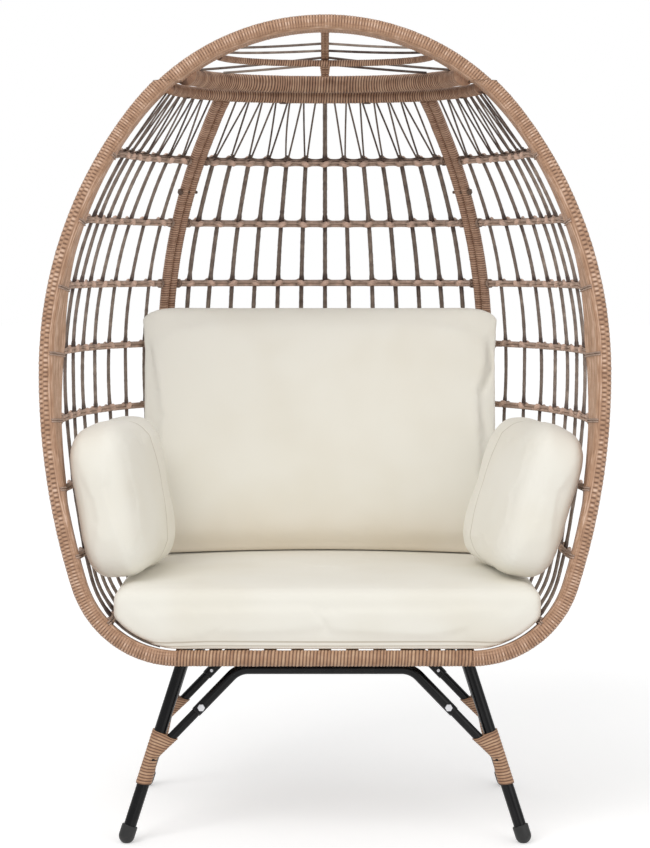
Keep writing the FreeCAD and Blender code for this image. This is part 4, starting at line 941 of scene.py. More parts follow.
@dataclass
class Rim:
    """The two tubes of the rim, wound together, and the arch that carries them over the crown."""

    palette: Palette
    crown_inset: float = 0.005
    rear_radius: float = 0.0088
    ring_step: float = 0.0012
    seam_overlap: float = 0.012
    closer: float = 0.65
    bead: Winding = Winding(0.0084, 0.0021, 0.12)
    bead_half: float = math.radians(21)
    outer_height: float = 0.45
    strip_height: float = 0.50
    strip_reach: float = 0.9
    crown_fade: tuple[float, float] = (0.96, 0.08)
    crown_relief: float = 0.4
    loop_lift: float = 0.0012
    loop_past: int = 10
    bead_rises: tuple[float, float, float, float] = (0.10, 0.28, 0.80, 0.93)
    bead_middles: tuple[float, float] = (math.radians(270), math.radians(312))
    front_points: int = 36
    wall_points: int = 6
    rear_points: int = 8

    def beads(self, way: Array, rise: Array) -> tuple[Array, Array]:
        """The two columns of beads on the front tube, half a pitch apart; low and high they join to strips.

        Args:
            way: Direction of each point of the front arc, as an angle from straight outward.
            rise: The rise of each ring.

        Returns:
            The height of the bead at each point as sqrt(1 - (offset / half)^2), and its shift in pitches.
        """
        offsets = np.array([np.abs(way - middle) for middle in self.bead_middles])
        height = np.sqrt(np.clip(1 - (offsets.min(axis=0) / self.bead_half) ** 2, 0, 1))
        apart = self.apart(rise)[:, None]
        outer = way > self.bead_middles[1]
        height = np.where(outer, np.maximum(height, self.outer_height), height)
        strips = way > self.bead_middles[0] - self.strip_reach
        height = np.maximum(height, self.strip_height * (1 - apart) * strips)
        return height, np.where(offsets.argmin(axis=0) == 1, 0.5, 0.0) * apart

    def apart(self, rise: Array) -> Array:
        """How far the strips of the front tube are parted into two columns of beads: 1 along the flanks."""
        return np.interp(rise, self.bead_rises, (0.0, 1.0, 1.0, 0.0))

    def outline(self, rise: Array) -> tuple[Array, Array, Array, Array]:
        """The hull of the two tubes: arcs of each circle joined by the lines that touch both.

        Args:
            rise: The rise of each ring, which sets how far inboard the rear tube stands.

        Returns:
            Points and outward normals as outward and back parts, the depth of the winding there, and its
            shift in pitches.
        """
        wide, narrow, deep = SHELL.rim_radius - self.bead.depth * 0.5, self.rear_radius, SHELL.band_depth
        inset = SHELL.inset(rise) * SHELL.rear_share(rise)
        middle = np.stack([-inset, np.full_like(inset, deep)], axis=-1)
        way = np.arctan2(middle[:, 1], middle[:, 0])
        spread = np.arccos((wide - narrow) / np.hypot(middle[:, 0], middle[:, 1]))
        open_turn = (math.tau - 2 * spread)[:, None]
        front = way[:, None] + spread[:, None] + open_turn * np.linspace(0, 1, self.front_points)
        rear = way[:, None] - spread[:, None] + 2 * spread[:, None] * np.linspace(0, 1, self.rear_points)
        front_way, rear_way = (np.stack([np.cos(turn), np.sin(turn)], axis=-1) for turn in (front, rear))
        front_at, rear_at = front_way * wide, middle[:, None] + rear_way * narrow
        share = np.linspace(0, 1, self.wall_points + 2)[1:-1][None, :, None]
        outer_wall = front_at[:, -1:] * (1 - share) + rear_at[:, :1] * share
        inner_wall = rear_at[:, -1:] * (1 - share) + front_at[:, :1] * share
        points = join([front_at, outer_wall, rear_at, inner_wall], axis=1)
        outer_way, inner_way = (
            np.repeat(arc[:, -1:], self.wall_points, axis=1) for arc in (front_way, rear_way)
        )
        normals = join([front_way, outer_way, rear_way, inner_way], axis=1)
        height, shift = self.beads(front, rise)
        fade = np.tile(np.linspace(self.outer_height, 0.0, self.wall_points), (len(inset), 1))
        crown = np.clip((np.asarray(rise) - self.crown_fade[0]) / self.crown_fade[1], 0, 1)[:, None]
        smooth = np.repeat(self.crown_relief * crown, self.rear_points + self.wall_points, axis=1)
        weight = join([height, fade, smooth], axis=1)
        shift = join([shift, np.repeat(shift[:, -1:], self.wall_points, axis=1), smooth], axis=1)
        return points, normals, weight, shift

    def loop(self, rise: float) -> tuple[Array, Array]:
        """A line round the rear of the wound rim at a rise, on the right, and the direction along the rim."""
        line = SHELL.front.trace(SHELL.rim_radius, self.bead.step)
        x, here, turn = line[np.abs(line[:, 1] - rise).argmin()]
        points, normals, _, _ = self.outline(np.array([here]))
        count = self.wall_points + self.rear_points + self.loop_past
        lifted = points[0] + normals[0] * self.loop_lift
        around = np.roll(lifted, -self.front_points - self.wall_points, axis=0)[:count]
        outward = math.sin(turn) * RIGHT - math.cos(turn) * SHELL.rim_up
        middle = np.array([x, float(SHELL.plane(here)), float(SHELL.level(here))])
        along = math.cos(turn) * RIGHT + math.sin(turn) * SHELL.rim_up
        return middle + around[:, :1] * outward + around[:, 1:] * SHELL.rim_back, along

    def rings(self, line: Array, winding: Winding) -> tuple[Array, Array, Array, Array]:
        """Rings of the wound hull along a line of the rim.

        Args:
            line: X, rise and turn at each point.
            winding: The strips.

        Returns:
            Rings, phase and distance round them with the closing column, and relief at each point.
        """
        x, rise, turn = line.T
        up, back = SHELL.rim_up, SHELL.rim_back
        middle = np.stack([x, SHELL.plane(rise), SHELL.level(rise)], axis=1)
        outward = np.sin(turn)[:, None] * RIGHT - np.cos(turn)[:, None] * up
        points, normals, weight, shift = self.outline(rise)
        loop = join([points[len(points) // 2], points[len(points) // 2][:1]])
        distance = join([[0], np.cumsum(np.hypot(*np.diff(loop, axis=0).T))])
        weight, shift = (join([values, values[:, :1]], axis=1) for values in (weight, shift))
        closer = 1 + self.closer * (1 - self.apart(rise))
        run = join([[0], np.cumsum(np.diff(run_lengths(middle)) * closer[1:])])
        swell, phase = winding.wind(run, shift, weight)
        flat = points + normals * swell[:, :-1, None]
        rings = middle[:, None] + outward[:, None] * flat[..., :1] + back * flat[..., 1:]
        return rings, phase, distance, weight[:, :-1]

    def cut_level(self, rings: Array, line: Array, above: bool) -> Array:
        """Slides points that pass the seam back along the rim's line onto its level plane."""
        seam = float(SHELL.level(SHELL.seam_rise))
        ahead = np.cos(line[:, 2])[:, None] * RIGHT + np.sin(line[:, 2])[:, None] * SHELL.rim_up
        over = (seam - rings[..., 2]) / ahead[:, None, 2]
        over = np.maximum(over, 0) if above else np.minimum(over, 0)
        return rings + ahead[:, None] * over[..., None]

    def build(self) -> None:
        """The two halves of the rim and the crown arch."""
        line = SHELL.front.trace(SHELL.rim_radius, self.ring_step)
        lower = line[line[:, 1] < SHELL.seam_rise + self.seam_overlap]
        for side in Side:
            rings, phase, around, weight = self.rings(lower, replace(self.bead, seed=11 + side.value))
            rings = mirror(self.cut_level(rings, lower, False), side)
            bundle = Bundle().add_rings(rings, phase, around, 0.5, weight, flip=side is Side.LEFT)
            bundle.place(f"{side.label}_wound_rim", "honey_wicker", self.palette.rim, f"{side.label}_rim")
        line = SHELL.front.trace(SHELL.rim_radius + self.crown_inset, self.ring_step)
        upper = line[line[:, 1] > SHELL.seam_rise - self.seam_overlap]
        half = upper[::-1][1:] * np.array([-1, 1, 1])
        half[:, 2] = math.tau - upper[::-1][1:, 2]
        whole = join([upper, half])
        rings, phase, around, weight = self.rings(whole, replace(self.bead, seed=23))
        count = len(upper)
        rings[:count] = self.cut_level(rings[:count], whole[:count], True)
        rings[count:] = self.cut_level(rings[count:], whole[count:], False)
        bundle = Bundle().add_rings(rings, phase, around, 0.5, weight)
        bundle.place("wound_crown_arch", "honey_wicker", self.palette.rim, "crown_arch")


@dataclass
class Posts:
    """The wound posts and bars that frame the panels, and the bar under the front edge."""

    palette: Palette
    joint_gap: float = 0.0002
    foot_run: float = 0.065
    head_fuller: float = 0.0022
    post_winding: Winding = Winding(0.0046, 0.0008, 0.5, 0.0012)
    bar_winding: Winding = Winding(0.0052, 0.0009, 0.35, 0.0012)
    front_winding: Winding = Winding(0.0060, 0.0009, 0.35, 0.0012, 59)

    def tube(self, node: str, path: Array, way: Array, winding: Winding, side: Side | None = None) -> None:
        """One post or bar: the head bars are fuller, over the ends of the laces.

        Args:
            node: Its CAD node, without the side.
            path: Points of its middle on the right.
            way: Direction of the first point of each ring.
            winding: The strips.
            side: The side of the chair, none for the back panel.
        """
        hand = ""
        if side:
            hand, path, way = f"{side.label}_", mirror(path, side), mirror(way, side)
            winding = replace(winding, seed=winding.seed + side.value)
        finish = self.palette.post if node.endswith("post") else self.palette.bar_honey
        fuller = self.head_fuller if node.endswith("head_bar") else -winding.depth * 0.5
        bundle = wound_tube(Bundle(), path, way, SHELL.post_radius + fuller, winding, side is Side.LEFT)
        bundle.place(f"{hand}wound_{node}", "honey_wicker", finish, hand + node)

    def post_path(self, shift: float) -> Array:
        """The middle of a post, shifted along the plan from the seam between two panels."""
        rises = np.linspace(SHELL.rim_radius, SHELL.head_rise - SHELL.post_radius, 200)
        points = SHELL.point(SHELL.post_angle, rises)
        return points + SHELL.along(SHELL.post_angle, np.maximum(rises, self.foot_run)) * shift

    def bar_path(self, panel: Panel, rise: float) -> Array:
        """The middle of a bar along the plan of a panel."""
        first, last = SHELL.ends(panel, rise)
        return SHELL.point(np.linspace(first, last, 160), rise)

    def front_bar(self) -> None:
        """The straight bar under the front edge, from end to end of its CAD node."""
        low, high = (np.array(corner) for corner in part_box("front_bar"))
        middle = (low + high) / 2
        ends = np.array([[x, middle[1], middle[2]] for x in (low[0], high[0])])
        radius = SHELL.rim_radius - self.front_winding.depth
        bundle = wound_tube(Bundle(), ends, UP, radius, self.front_winding, sides=28)
        bundle.place("wound_front_bar", "honey_wicker", self.palette.honey, "front_bar")

    def build(self) -> None:
        """Posts, panel bars and front bar."""
        shift = SHELL.post_radius + self.joint_gap / 2
        foot, head = SHELL.rim_radius, SHELL.head_rise
        for side in Side:
            for node, move, seed in (("side_post", -shift, 31), ("back_post", shift, 37)):
                self.tube(node, self.post_path(move), RIGHT, replace(self.post_winding, seed=seed), side)
            for node, rise, seed in (("side_foot_bar", foot, 41), ("side_head_bar", head, 43)):
                path = self.bar_path(Panel.FLANK, rise)
                self.tube(node, path, UP, replace(self.bar_winding, seed=seed), side)
        for node, rise, seed in (("back_foot_bar", foot, 47), ("back_head_bar", head, 53)):
            self.tube(node, self.bar_path(Panel.BACK, rise), UP, replace(self.bar_winding, seed=seed))
        self.front_bar()


@dataclass(frozen=True)
class Course:
    """The middle of a row: its points, its directions, and its distance from the nearest upright."""

    path: Array
    ahead: Array
    climb: Array
    outward: Array
    number: Array
    offset: Array


@dataclass
class Weave:
    """The uprights, twined rows and laces of the three woven panels."""

    palette: Palette
    back_strand: float = 0.0043
    side_strand: float = 0.0033
    row_strand: float = 0.0029
    back_count: int = 13
    side_count: int = 7
    foot_room: float = 0.004
    head_room: float = 0.006
    wave: float = 0.0006
    knot_above: float = 0.009
    knot_half: float = 0.006
    shade_half: float = 0.016
    row_step: float = 0.0022
    post_room: float = 0.0178
    rim_room: float = 0.006
    rim_reach: float = 0.016
    cross_half: float = 0.0045
    over_half: float = 0.0065
    over_lift: float = 0.0018
    over_rise: float = 0.0024
    over_share: tuple[float, float] = (0.95, 0.1)
    part_half: float = 0.0075
    # Where and how wide the band of painted shade beside each upright lies.
    outline_at: float = 0.0105
    outline_half: float = 0.0028
    coil_turns: float = 2.5
    coil_size: tuple[float, float] = (0.0074, 0.0078)
    coil_run: tuple[float, float] = (0.0005, 0.0055)
    coil_strand: float = 0.0017
    loop_strand: float = 0.0016
    loop_apart: float = 0.0019
    line_strand: float = 0.0014
    line_half: float = 0.009
    lace_gap: float = 0.0075
    lace_radius: float = 0.0018
    lace_bow: float = 0.0008
    wrap_turns: int = 3
    wrap_size: tuple[float, float] = (0.0040, 0.0030)
    wrap_strand: float = 0.0011
    rng: np.random.Generator = field(default_factory=lambda: np.random.default_rng(7))

    def count(self, panel: Panel) -> int:
        """How many uprights a panel has."""
        return self.back_count if panel is Panel.BACK else self.side_count

    def upright(self, panel: Panel) -> float:
        """The radius of a panel's uprights."""
        return self.back_strand if panel is Panel.BACK else self.side_strand

    def columns(self, panel: Panel, rises: Array) -> Array:
        """Angles of the uprights at each rise."""
        count = self.count(panel)
        shares = (np.arange(count) + 1) / (count + 1)
        return np.array([SHELL.spread(rise, *SHELL.ends(panel, rise), shares) for rise in rises])

    @property
    def lace_foot(self) -> float:
        """The rise at which an upright ends and its laces start."""
        return SHELL.top_row + self.lace_gap

    def uprights(self, panel: Panel, side: Side) -> Bundle:
        """Upright strands: they wave a little and swell to a knot just above each row; their colour carries
        painted shade where they meet each row and over each knot.
        """
        bundle = Bundle()
        rises = np.linspace(SHELL.rim_radius + self.foot_room, self.lace_foot, 200)
        angles = self.columns(panel, rises)
        for number in range(angles.shape[1]):
            levels, turns = rises, angles[:, number]
            if panel is Panel.BACK and number == self.back_count // 2:
                more = np.linspace(self.lace_foot, SHELL.head_rise - self.head_room, 20)[1:]
                levels = join([rises, more])
                turns = join([turns, np.full(len(more), 90.0)])
            path = SHELL.point(turns, levels)
            out = unit(path * np.array([1, 1, 0]))
            wave = np.sin((levels - SHELL.top_row) / SHELL.row_pitch * math.pi + number * math.pi) * self.wave
            path = mirror(path + out * wave[:, None], side)
            above = levels[:, None] - SHELL.row_rises[None, :]
            knot = np.exp(-(((above - self.knot_above) / self.knot_half) ** 2)).sum(axis=1)
            # Painted shade: a dark band centred on each row, where the upright meets it.
            shade = np.exp(-((above / self.shade_half) ** 2)).sum(axis=1)
            radius = self.upright(panel) * (1 + 0.03 * self.rng.normal(size=len(path)) + 0.25 * knot)
            # The tone darkens with that painted shade and over each knot.
            tone = 0.45 + 0.25 * self.rng.random() - 0.55 * np.clip(shade + 0.5 * knot, 0, 1)
            round_strand(bundle, path, mirror(RIGHT, side), radius, tone, 10)
        return bundle

    def course(self, panel: Panel, rise: float) -> Course:
        """The middle of a row: along the plan, and on a flank drawn onto the rim's rear tube by share^2."""
        trim = self.post_room if panel is Panel.BACK else self.rim_room
        angles = SHELL.spread(rise, *SHELL.ends(panel, rise), np.linspace(0, 1, 400))
        total = run_lengths(SHELL.point(angles, rise))[-1]
        run = np.arange(trim, total - self.post_room, self.row_step)
        angles = np.interp(run, np.linspace(0, total, 400), angles)
        path = SHELL.point(angles, rise)
        if panel is Panel.FLANK:
            share = np.clip(1 - (run - trim) / self.rim_reach, 0, 1)[:, None]
            path = path + (SHELL.rear_tube(rise) - path[0]) * share**2
        ahead = unit(np.gradient(path, axis=0))
        climb = SHELL.climb(angles, rise)
        climb = unit(climb - ahead * np.sum(climb * ahead, axis=1, keepdims=True))
        pitch = total / (self.count(panel) + 1)
        number = np.floor(run / pitch + 0.5)
        return Course(path, ahead, climb, np.cross(ahead, climb), number, run - number * pitch)

    def twine(self, bundle: Bundle, course: Course, upright: float, side: Side) -> None:
        """A pair of strands outside and a pair inside; each pair crosses over every upright.

        The height of a strand is +-gauge * tanh(offset / cross_half), its sign swapped at each upright. The one
        that passes over widens by exp(-(offset / over_half)^2), stands higher and carries a painted highlight;
        a band of painted shade darkens each strand a little way to either side of the upright.

        Args:
            bundle: Where the strands go.
            course: The middle of the row.
            upright: Radius of the uprights between the two pairs.
            side: The side of the chair.
        """
        gauge, offset = self.row_strand, course.offset
        swap = np.where(course.number % 2 == 0, 1.0, -1.0) * np.tanh(offset / self.cross_half)
        over = np.exp(-((offset / self.over_half) ** 2))
        # Painted shade: a dark band a little way to either side of each upright, where the pair parts.
        outline = np.exp(-(((np.abs(offset) - self.outline_at) / self.outline_half) ** 2))
        parted = upright * np.exp(-((offset / self.part_half) ** 2))
        for wall in (1, -1):
            for hand, share in zip((1, -1), self.over_share):
                grown = over * share
                reach = gauge * 0.95 + parted + self.over_lift * over * (hand > 0)
                lift = hand * swap * gauge * 0.98 + self.over_rise * grown
                line = course.path + course.outward * (wall * reach)[:, None] + course.climb * lift[:, None]
                # Painted highlight where the strand passes over an upright, painted shade in the band beside
                # it.
                tone = 0.45 + 0.15 * self.rng.random() + 0.5 * grown - 0.25 * outline
                flat = (1 + 0.3 * grown) / (1 + grown)
                round_strand(bundle, mirror(line, side), UP, gauge * (1 + grown), tone, 10, flat)

    def coils(self, bundle: Bundle, course: Course, side: Side) -> None:
        """A coil of strand round both ends of a row: climb * cos + outward * sin, moving ahead."""
        high, wide = self.coil_size
        start, more = self.coil_run
        for end, way in ((0, 1), (-1, -1)):
            spin = np.linspace(0, self.coil_turns * math.tau, 48)[:, None]
            coil = course.climb[end] * np.cos(spin) * high + course.outward[end] * np.sin(spin) * wide
            line = course.path[end] + course.ahead[end] * (way * (start + more * spin / spin[-1])) + coil
            round_strand(bundle, mirror(line, side), mirror(course.ahead[end], side), self.coil_strand, 0.2, 6)

    def rim_loops(self, bundle: Bundle, rise: float, side: Side) -> None:
        """Two turns of strand round the rim's rear tube, where a row of a flank ends."""
        loop, along = Rim(self.palette).loop(rise)
        for step in (-self.loop_apart, self.loop_apart):
            line = mirror(loop + along * step, side)
            round_strand(bundle, line, mirror(along, side), self.loop_strand, 0.45, 6)

    def top_lines(self, bundle: Bundle, course: Course, side: Side) -> None:
        """The dark strand that runs over the top row, higher over each upright."""
        gauge = self.row_strand
        lift = gauge * (1.75 + 1.25 * np.exp(-((course.offset / self.line_half) ** 2)))
        for wall in (1, -1):
            line = course.path + course.outward * wall * gauge * 1.1 + course.climb * lift[:, None]
            round_strand(bundle, mirror(line, side), UP, self.line_strand, 0.0, 6)

    def rows(self, panel: Panel, side: Side) -> Bundle:
        """All rows of a panel: twined strands, coils at their ends and loops round the rim."""
        bundle = Bundle()
        for rise in SHELL.row_rises:
            course = self.course(panel, float(rise))
            self.twine(bundle, course, self.upright(panel), side)
            self.coils(bundle, course, side)
            if panel is Panel.FLANK:
                self.rim_loops(bundle, float(rise), side)
            if rise == SHELL.top_row:
                self.top_lines(bundle, course, side)
        return bundle

    def lace_heads(self, panel: Panel) -> Array:
        """Angles at which the laces reach the head bar; on the back panel from its middle to its right."""
        head = SHELL.head_rise
        count = self.side_count + 1 if panel is Panel.FLANK else self.back_count // 2 + 1
        shares = (np.arange(count) + 0.6) / (count + 0.7)
        first = SHELL.band_angle(head) if panel is Panel.FLANK else 90.0
        return SHELL.spread(head, first, SHELL.post_angle, shares)

    def lace_pairs(self, panel: Panel) -> list[tuple[float, float, float]]:
        """For each parting strand, its angle at the top row and its two angles at the head bar."""
        columns = self.columns(panel, np.array([self.lace_foot]))[0]
        heads = self.lace_heads(panel)
        if panel is Panel.FLANK:
            return [(angle, heads[i], heads[i + 1]) for i, angle in enumerate(columns)]
        pairs = []
        half = self.back_count // 2
        for i in range(half):
            angle, one, two = columns[half - 1 - i], heads[i], heads[i + 1]
            pairs.append((angle, two, one))
            pairs.append((180 - angle, 180 - one, 180 - two))
        return pairs

    def laces(self, panel: Panel, side: Side) -> Bundle:
        """Two thin strands from each upright to the head bar, with turns of wrap at their foot."""
        bundle = Bundle()
        top = SHELL.head_rise - SHELL.post_radius * 0.8
        for angle, *heads in self.lace_pairs(panel):
            foot = SHELL.point(angle, self.lace_foot - 0.004)
            way = SHELL.along(angle, self.lace_foot)
            for at, lean in zip(heads, (-1, 1)):
                start = foot + way * lean * self.lace_radius * 1.05
                end = SHELL.point(at, top) - SHELL.along(at, top) * lean * self.lace_radius * 1.05
                share = np.linspace(0, 1, 16)[:, None]
                bow = np.sin(share * math.pi) * self.rng.normal(0, self.lace_bow)
                path = mirror(start * (1 - share) + end * share + way * bow, side)
                tone = 0.35 * self.rng.random()
                round_strand(bundle, path, UP + RIGHT * 0.3, self.lace_radius, tone, 8)
            turns = np.linspace(0, self.wrap_turns, 37)
            spin = turns * math.tau
            lift = (SHELL.point(angle, self.lace_foot + 0.006) - foot)[None] * turns[:, None] / self.wrap_turns
            wide, deep = self.wrap_size
            wrap = foot + lift + way * np.cos(spin)[:, None] * wide
            wrap = wrap + np.cross(way, UP) * np.sin(spin)[:, None] * deep
            round_strand(bundle, mirror(wrap, side), UP, self.wrap_strand, 0.1, 6)
        return bundle

    def build(self) -> None:
        """Strands, rows and laces of each panel."""
        dark, row = self.palette.dark, self.palette.row
        for panel, side, name in (
            (Panel.BACK, Side.RIGHT, "back"),
            (Panel.FLANK, Side.RIGHT, "right_side"),
            (Panel.FLANK, Side.LEFT, "left_side"),
        ):
            self.uprights(panel, side).place(f"{name}_uprights", "dark_strand", dark, f"{name}_strands")
            self.rows(panel, side).place(f"{name}_twined_rows", "row_wicker", row, f"{name}_rows")
            self.laces(panel, side).place(f"{name}_tied_laces", "dark_strand", dark, f"{name}_laces")


@dataclass
class Crown:
    """The bar, rib, spine and strands of the crown."""

    palette: Palette
    bar_radius: float = 0.014
    bar_inset: float = 0.005
    bar_fuller: float = 0.0013
    bar_past: float = 0.010
    bar_flare: float = 0.0035
    bar_winding: Winding = Winding(0.0054, 0.0009, 0.35, 0.0012, 61)
    rib_rise: float = 1.078
    rib_radius: float = 0.006
    rib_room: float = 0.0035
    strand_gap: float = 0.0012
    rib_winding: Winding = Winding(0.0046, 0.0006, 0.35, 0.0012, 67)
    strand_radius: float = 0.0023
    spine_radius: float = 0.0033
    spine_apart: float = 0.0034
    spine_winding: Winding = Winding(0.0055, 0.0010, seed=73)
    knot_turns: int = 6
    knot_strand: float = 0.0017

    @property
    def bar_rise(self) -> float:
        """The rise of the middle of the bar."""
        return SHELL.seam_rise + self.bar_radius / math.cos(SHELL.lean)

    def hoop(self, rise: float, inset: float, sink: float) -> Array:
        """A line round the plan of the crown between the ends of the arch, sunk inwards."""
        first = SHELL.band_angle(rise)
        angles = np.linspace(first, 180 - first, 200)
        points = SHELL.point(angles, rise, inset)
        climb = unit(SHELL.climb(angles, rise))
        outward = unit(np.cross(unit(np.gradient(points, axis=0)), climb))
        return points - outward * sink

    def spine_path(self) -> Array:
        """The middle of the spine, from the arch down to the bar."""
        low = self.bar_rise + self.bar_radius
        rises = np.linspace(low, SHELL.profile.total - SHELL.rim_radius, 400)
        depth = SHELL.profile.half_at(rises, SHELL.rim_radius)
        rises = rises[depth > SHELL.band_depth + SHELL.band_radius]
        return SHELL.point(90.0, rises[::-1])

    def strands(self, side: Side) -> Bundle:
        """Strands that fan out from the spine to the arch and the bar."""
        bundle = Bundle()
        rng = np.random.default_rng(71 + side.value)
        low = self.bar_rise + self.bar_radius
        room = self.rib_rise - low
        for first, last, onto_bar in (
            (self.rib_rise + room * 0.80, self.rib_rise + room * 0.30, False),
            (self.rib_rise + room * 0.42, self.rib_rise + room * 0.02, False),
            (self.rib_rise + room * 0.04, 22.0, True),
            (self.rib_rise - room * 0.34, 42.0, True),
        ):
            share = np.linspace(0, 1, 40)
            goal, angle = (low, last) if onto_bar else (last, SHELL.band_angle(last))
            path = SHELL.point(89.0 + (angle - 89.0) * share, first + (goal - first) * share)
            round_strand(bundle, mirror(path, side), UP, self.strand_radius, float(rng.random()), 8)
        return bundle

    def bar(self) -> None:
        """The bar at the foot of the crown, run on a little past both ends."""
        path = self.hoop(self.bar_rise, self.bar_inset, 0.0)
        before = path[:1] + unit(path[0] - path[4]) * self.bar_past
        after = path[-1:] + unit(path[-1] - path[-5]) * self.bar_past
        path, radius = join([before, path, after]), self.bar_radius + self.bar_fuller
        bundle = wound_tube(Bundle(), path, UP, radius, self.bar_winding, sides=24, flare=self.bar_flare)
        bundle.place("wound_crown_bar", "honey_wicker", self.palette.bar_honey, "crown_bar")

    def rib(self) -> None:
        """The thin rib behind the crown's strands."""
        path = self.hoop(self.rib_rise, 0.0, self.rib_radius + self.rib_room + self.strand_gap)
        radius = self.rib_radius - self.rib_winding.depth * 0.5
        bundle = wound_tube(Bundle(), path, UP, radius, self.rib_winding, sides=14)
        bundle.place("wound_crown_rib", "honey_wicker", self.palette.bar_honey, "crown_rib")

    def spine(self) -> None:
        """The pair of wound strands down the middle, tied to the rib by turns that narrow downwards."""
        bundle, path = Bundle(), self.spine_path()
        for shift in (-1, 1):
            line = path + RIGHT * shift * self.spine_apart
            wound_tube(bundle, line, RIGHT, self.spine_radius, self.spine_winding, sides=12)
        spin = np.linspace(0, self.knot_turns * math.tau, 140)[:, None]
        fall = spin / spin[-1]
        middle = SHELL.point(90.0, self.rib_rise - 0.004 - 0.020 * fall[:, 0])
        way = RIGHT * np.cos(spin) + np.array([0.0, 0.75, -0.55]) * np.sin(spin) * 0.7
        round_strand(bundle, middle + (0.0095 - 0.0030 * fall) * way, UP, self.knot_strand, 0.5, 6)
        bundle.place("wound_crown_spine", "honey_wicker", self.palette.bar_honey, "crown_spine")

    def build(self) -> None:
        """Every piece of the crown."""
        self.bar()
        self.rib()
        self.spine()
        for side in Side:
            names = f"{side.label}_crown_fan", f"{side.label}_crown_strands"
            self.strands(side).place(names[0], "dark_strand", self.palette.dark, names[1])


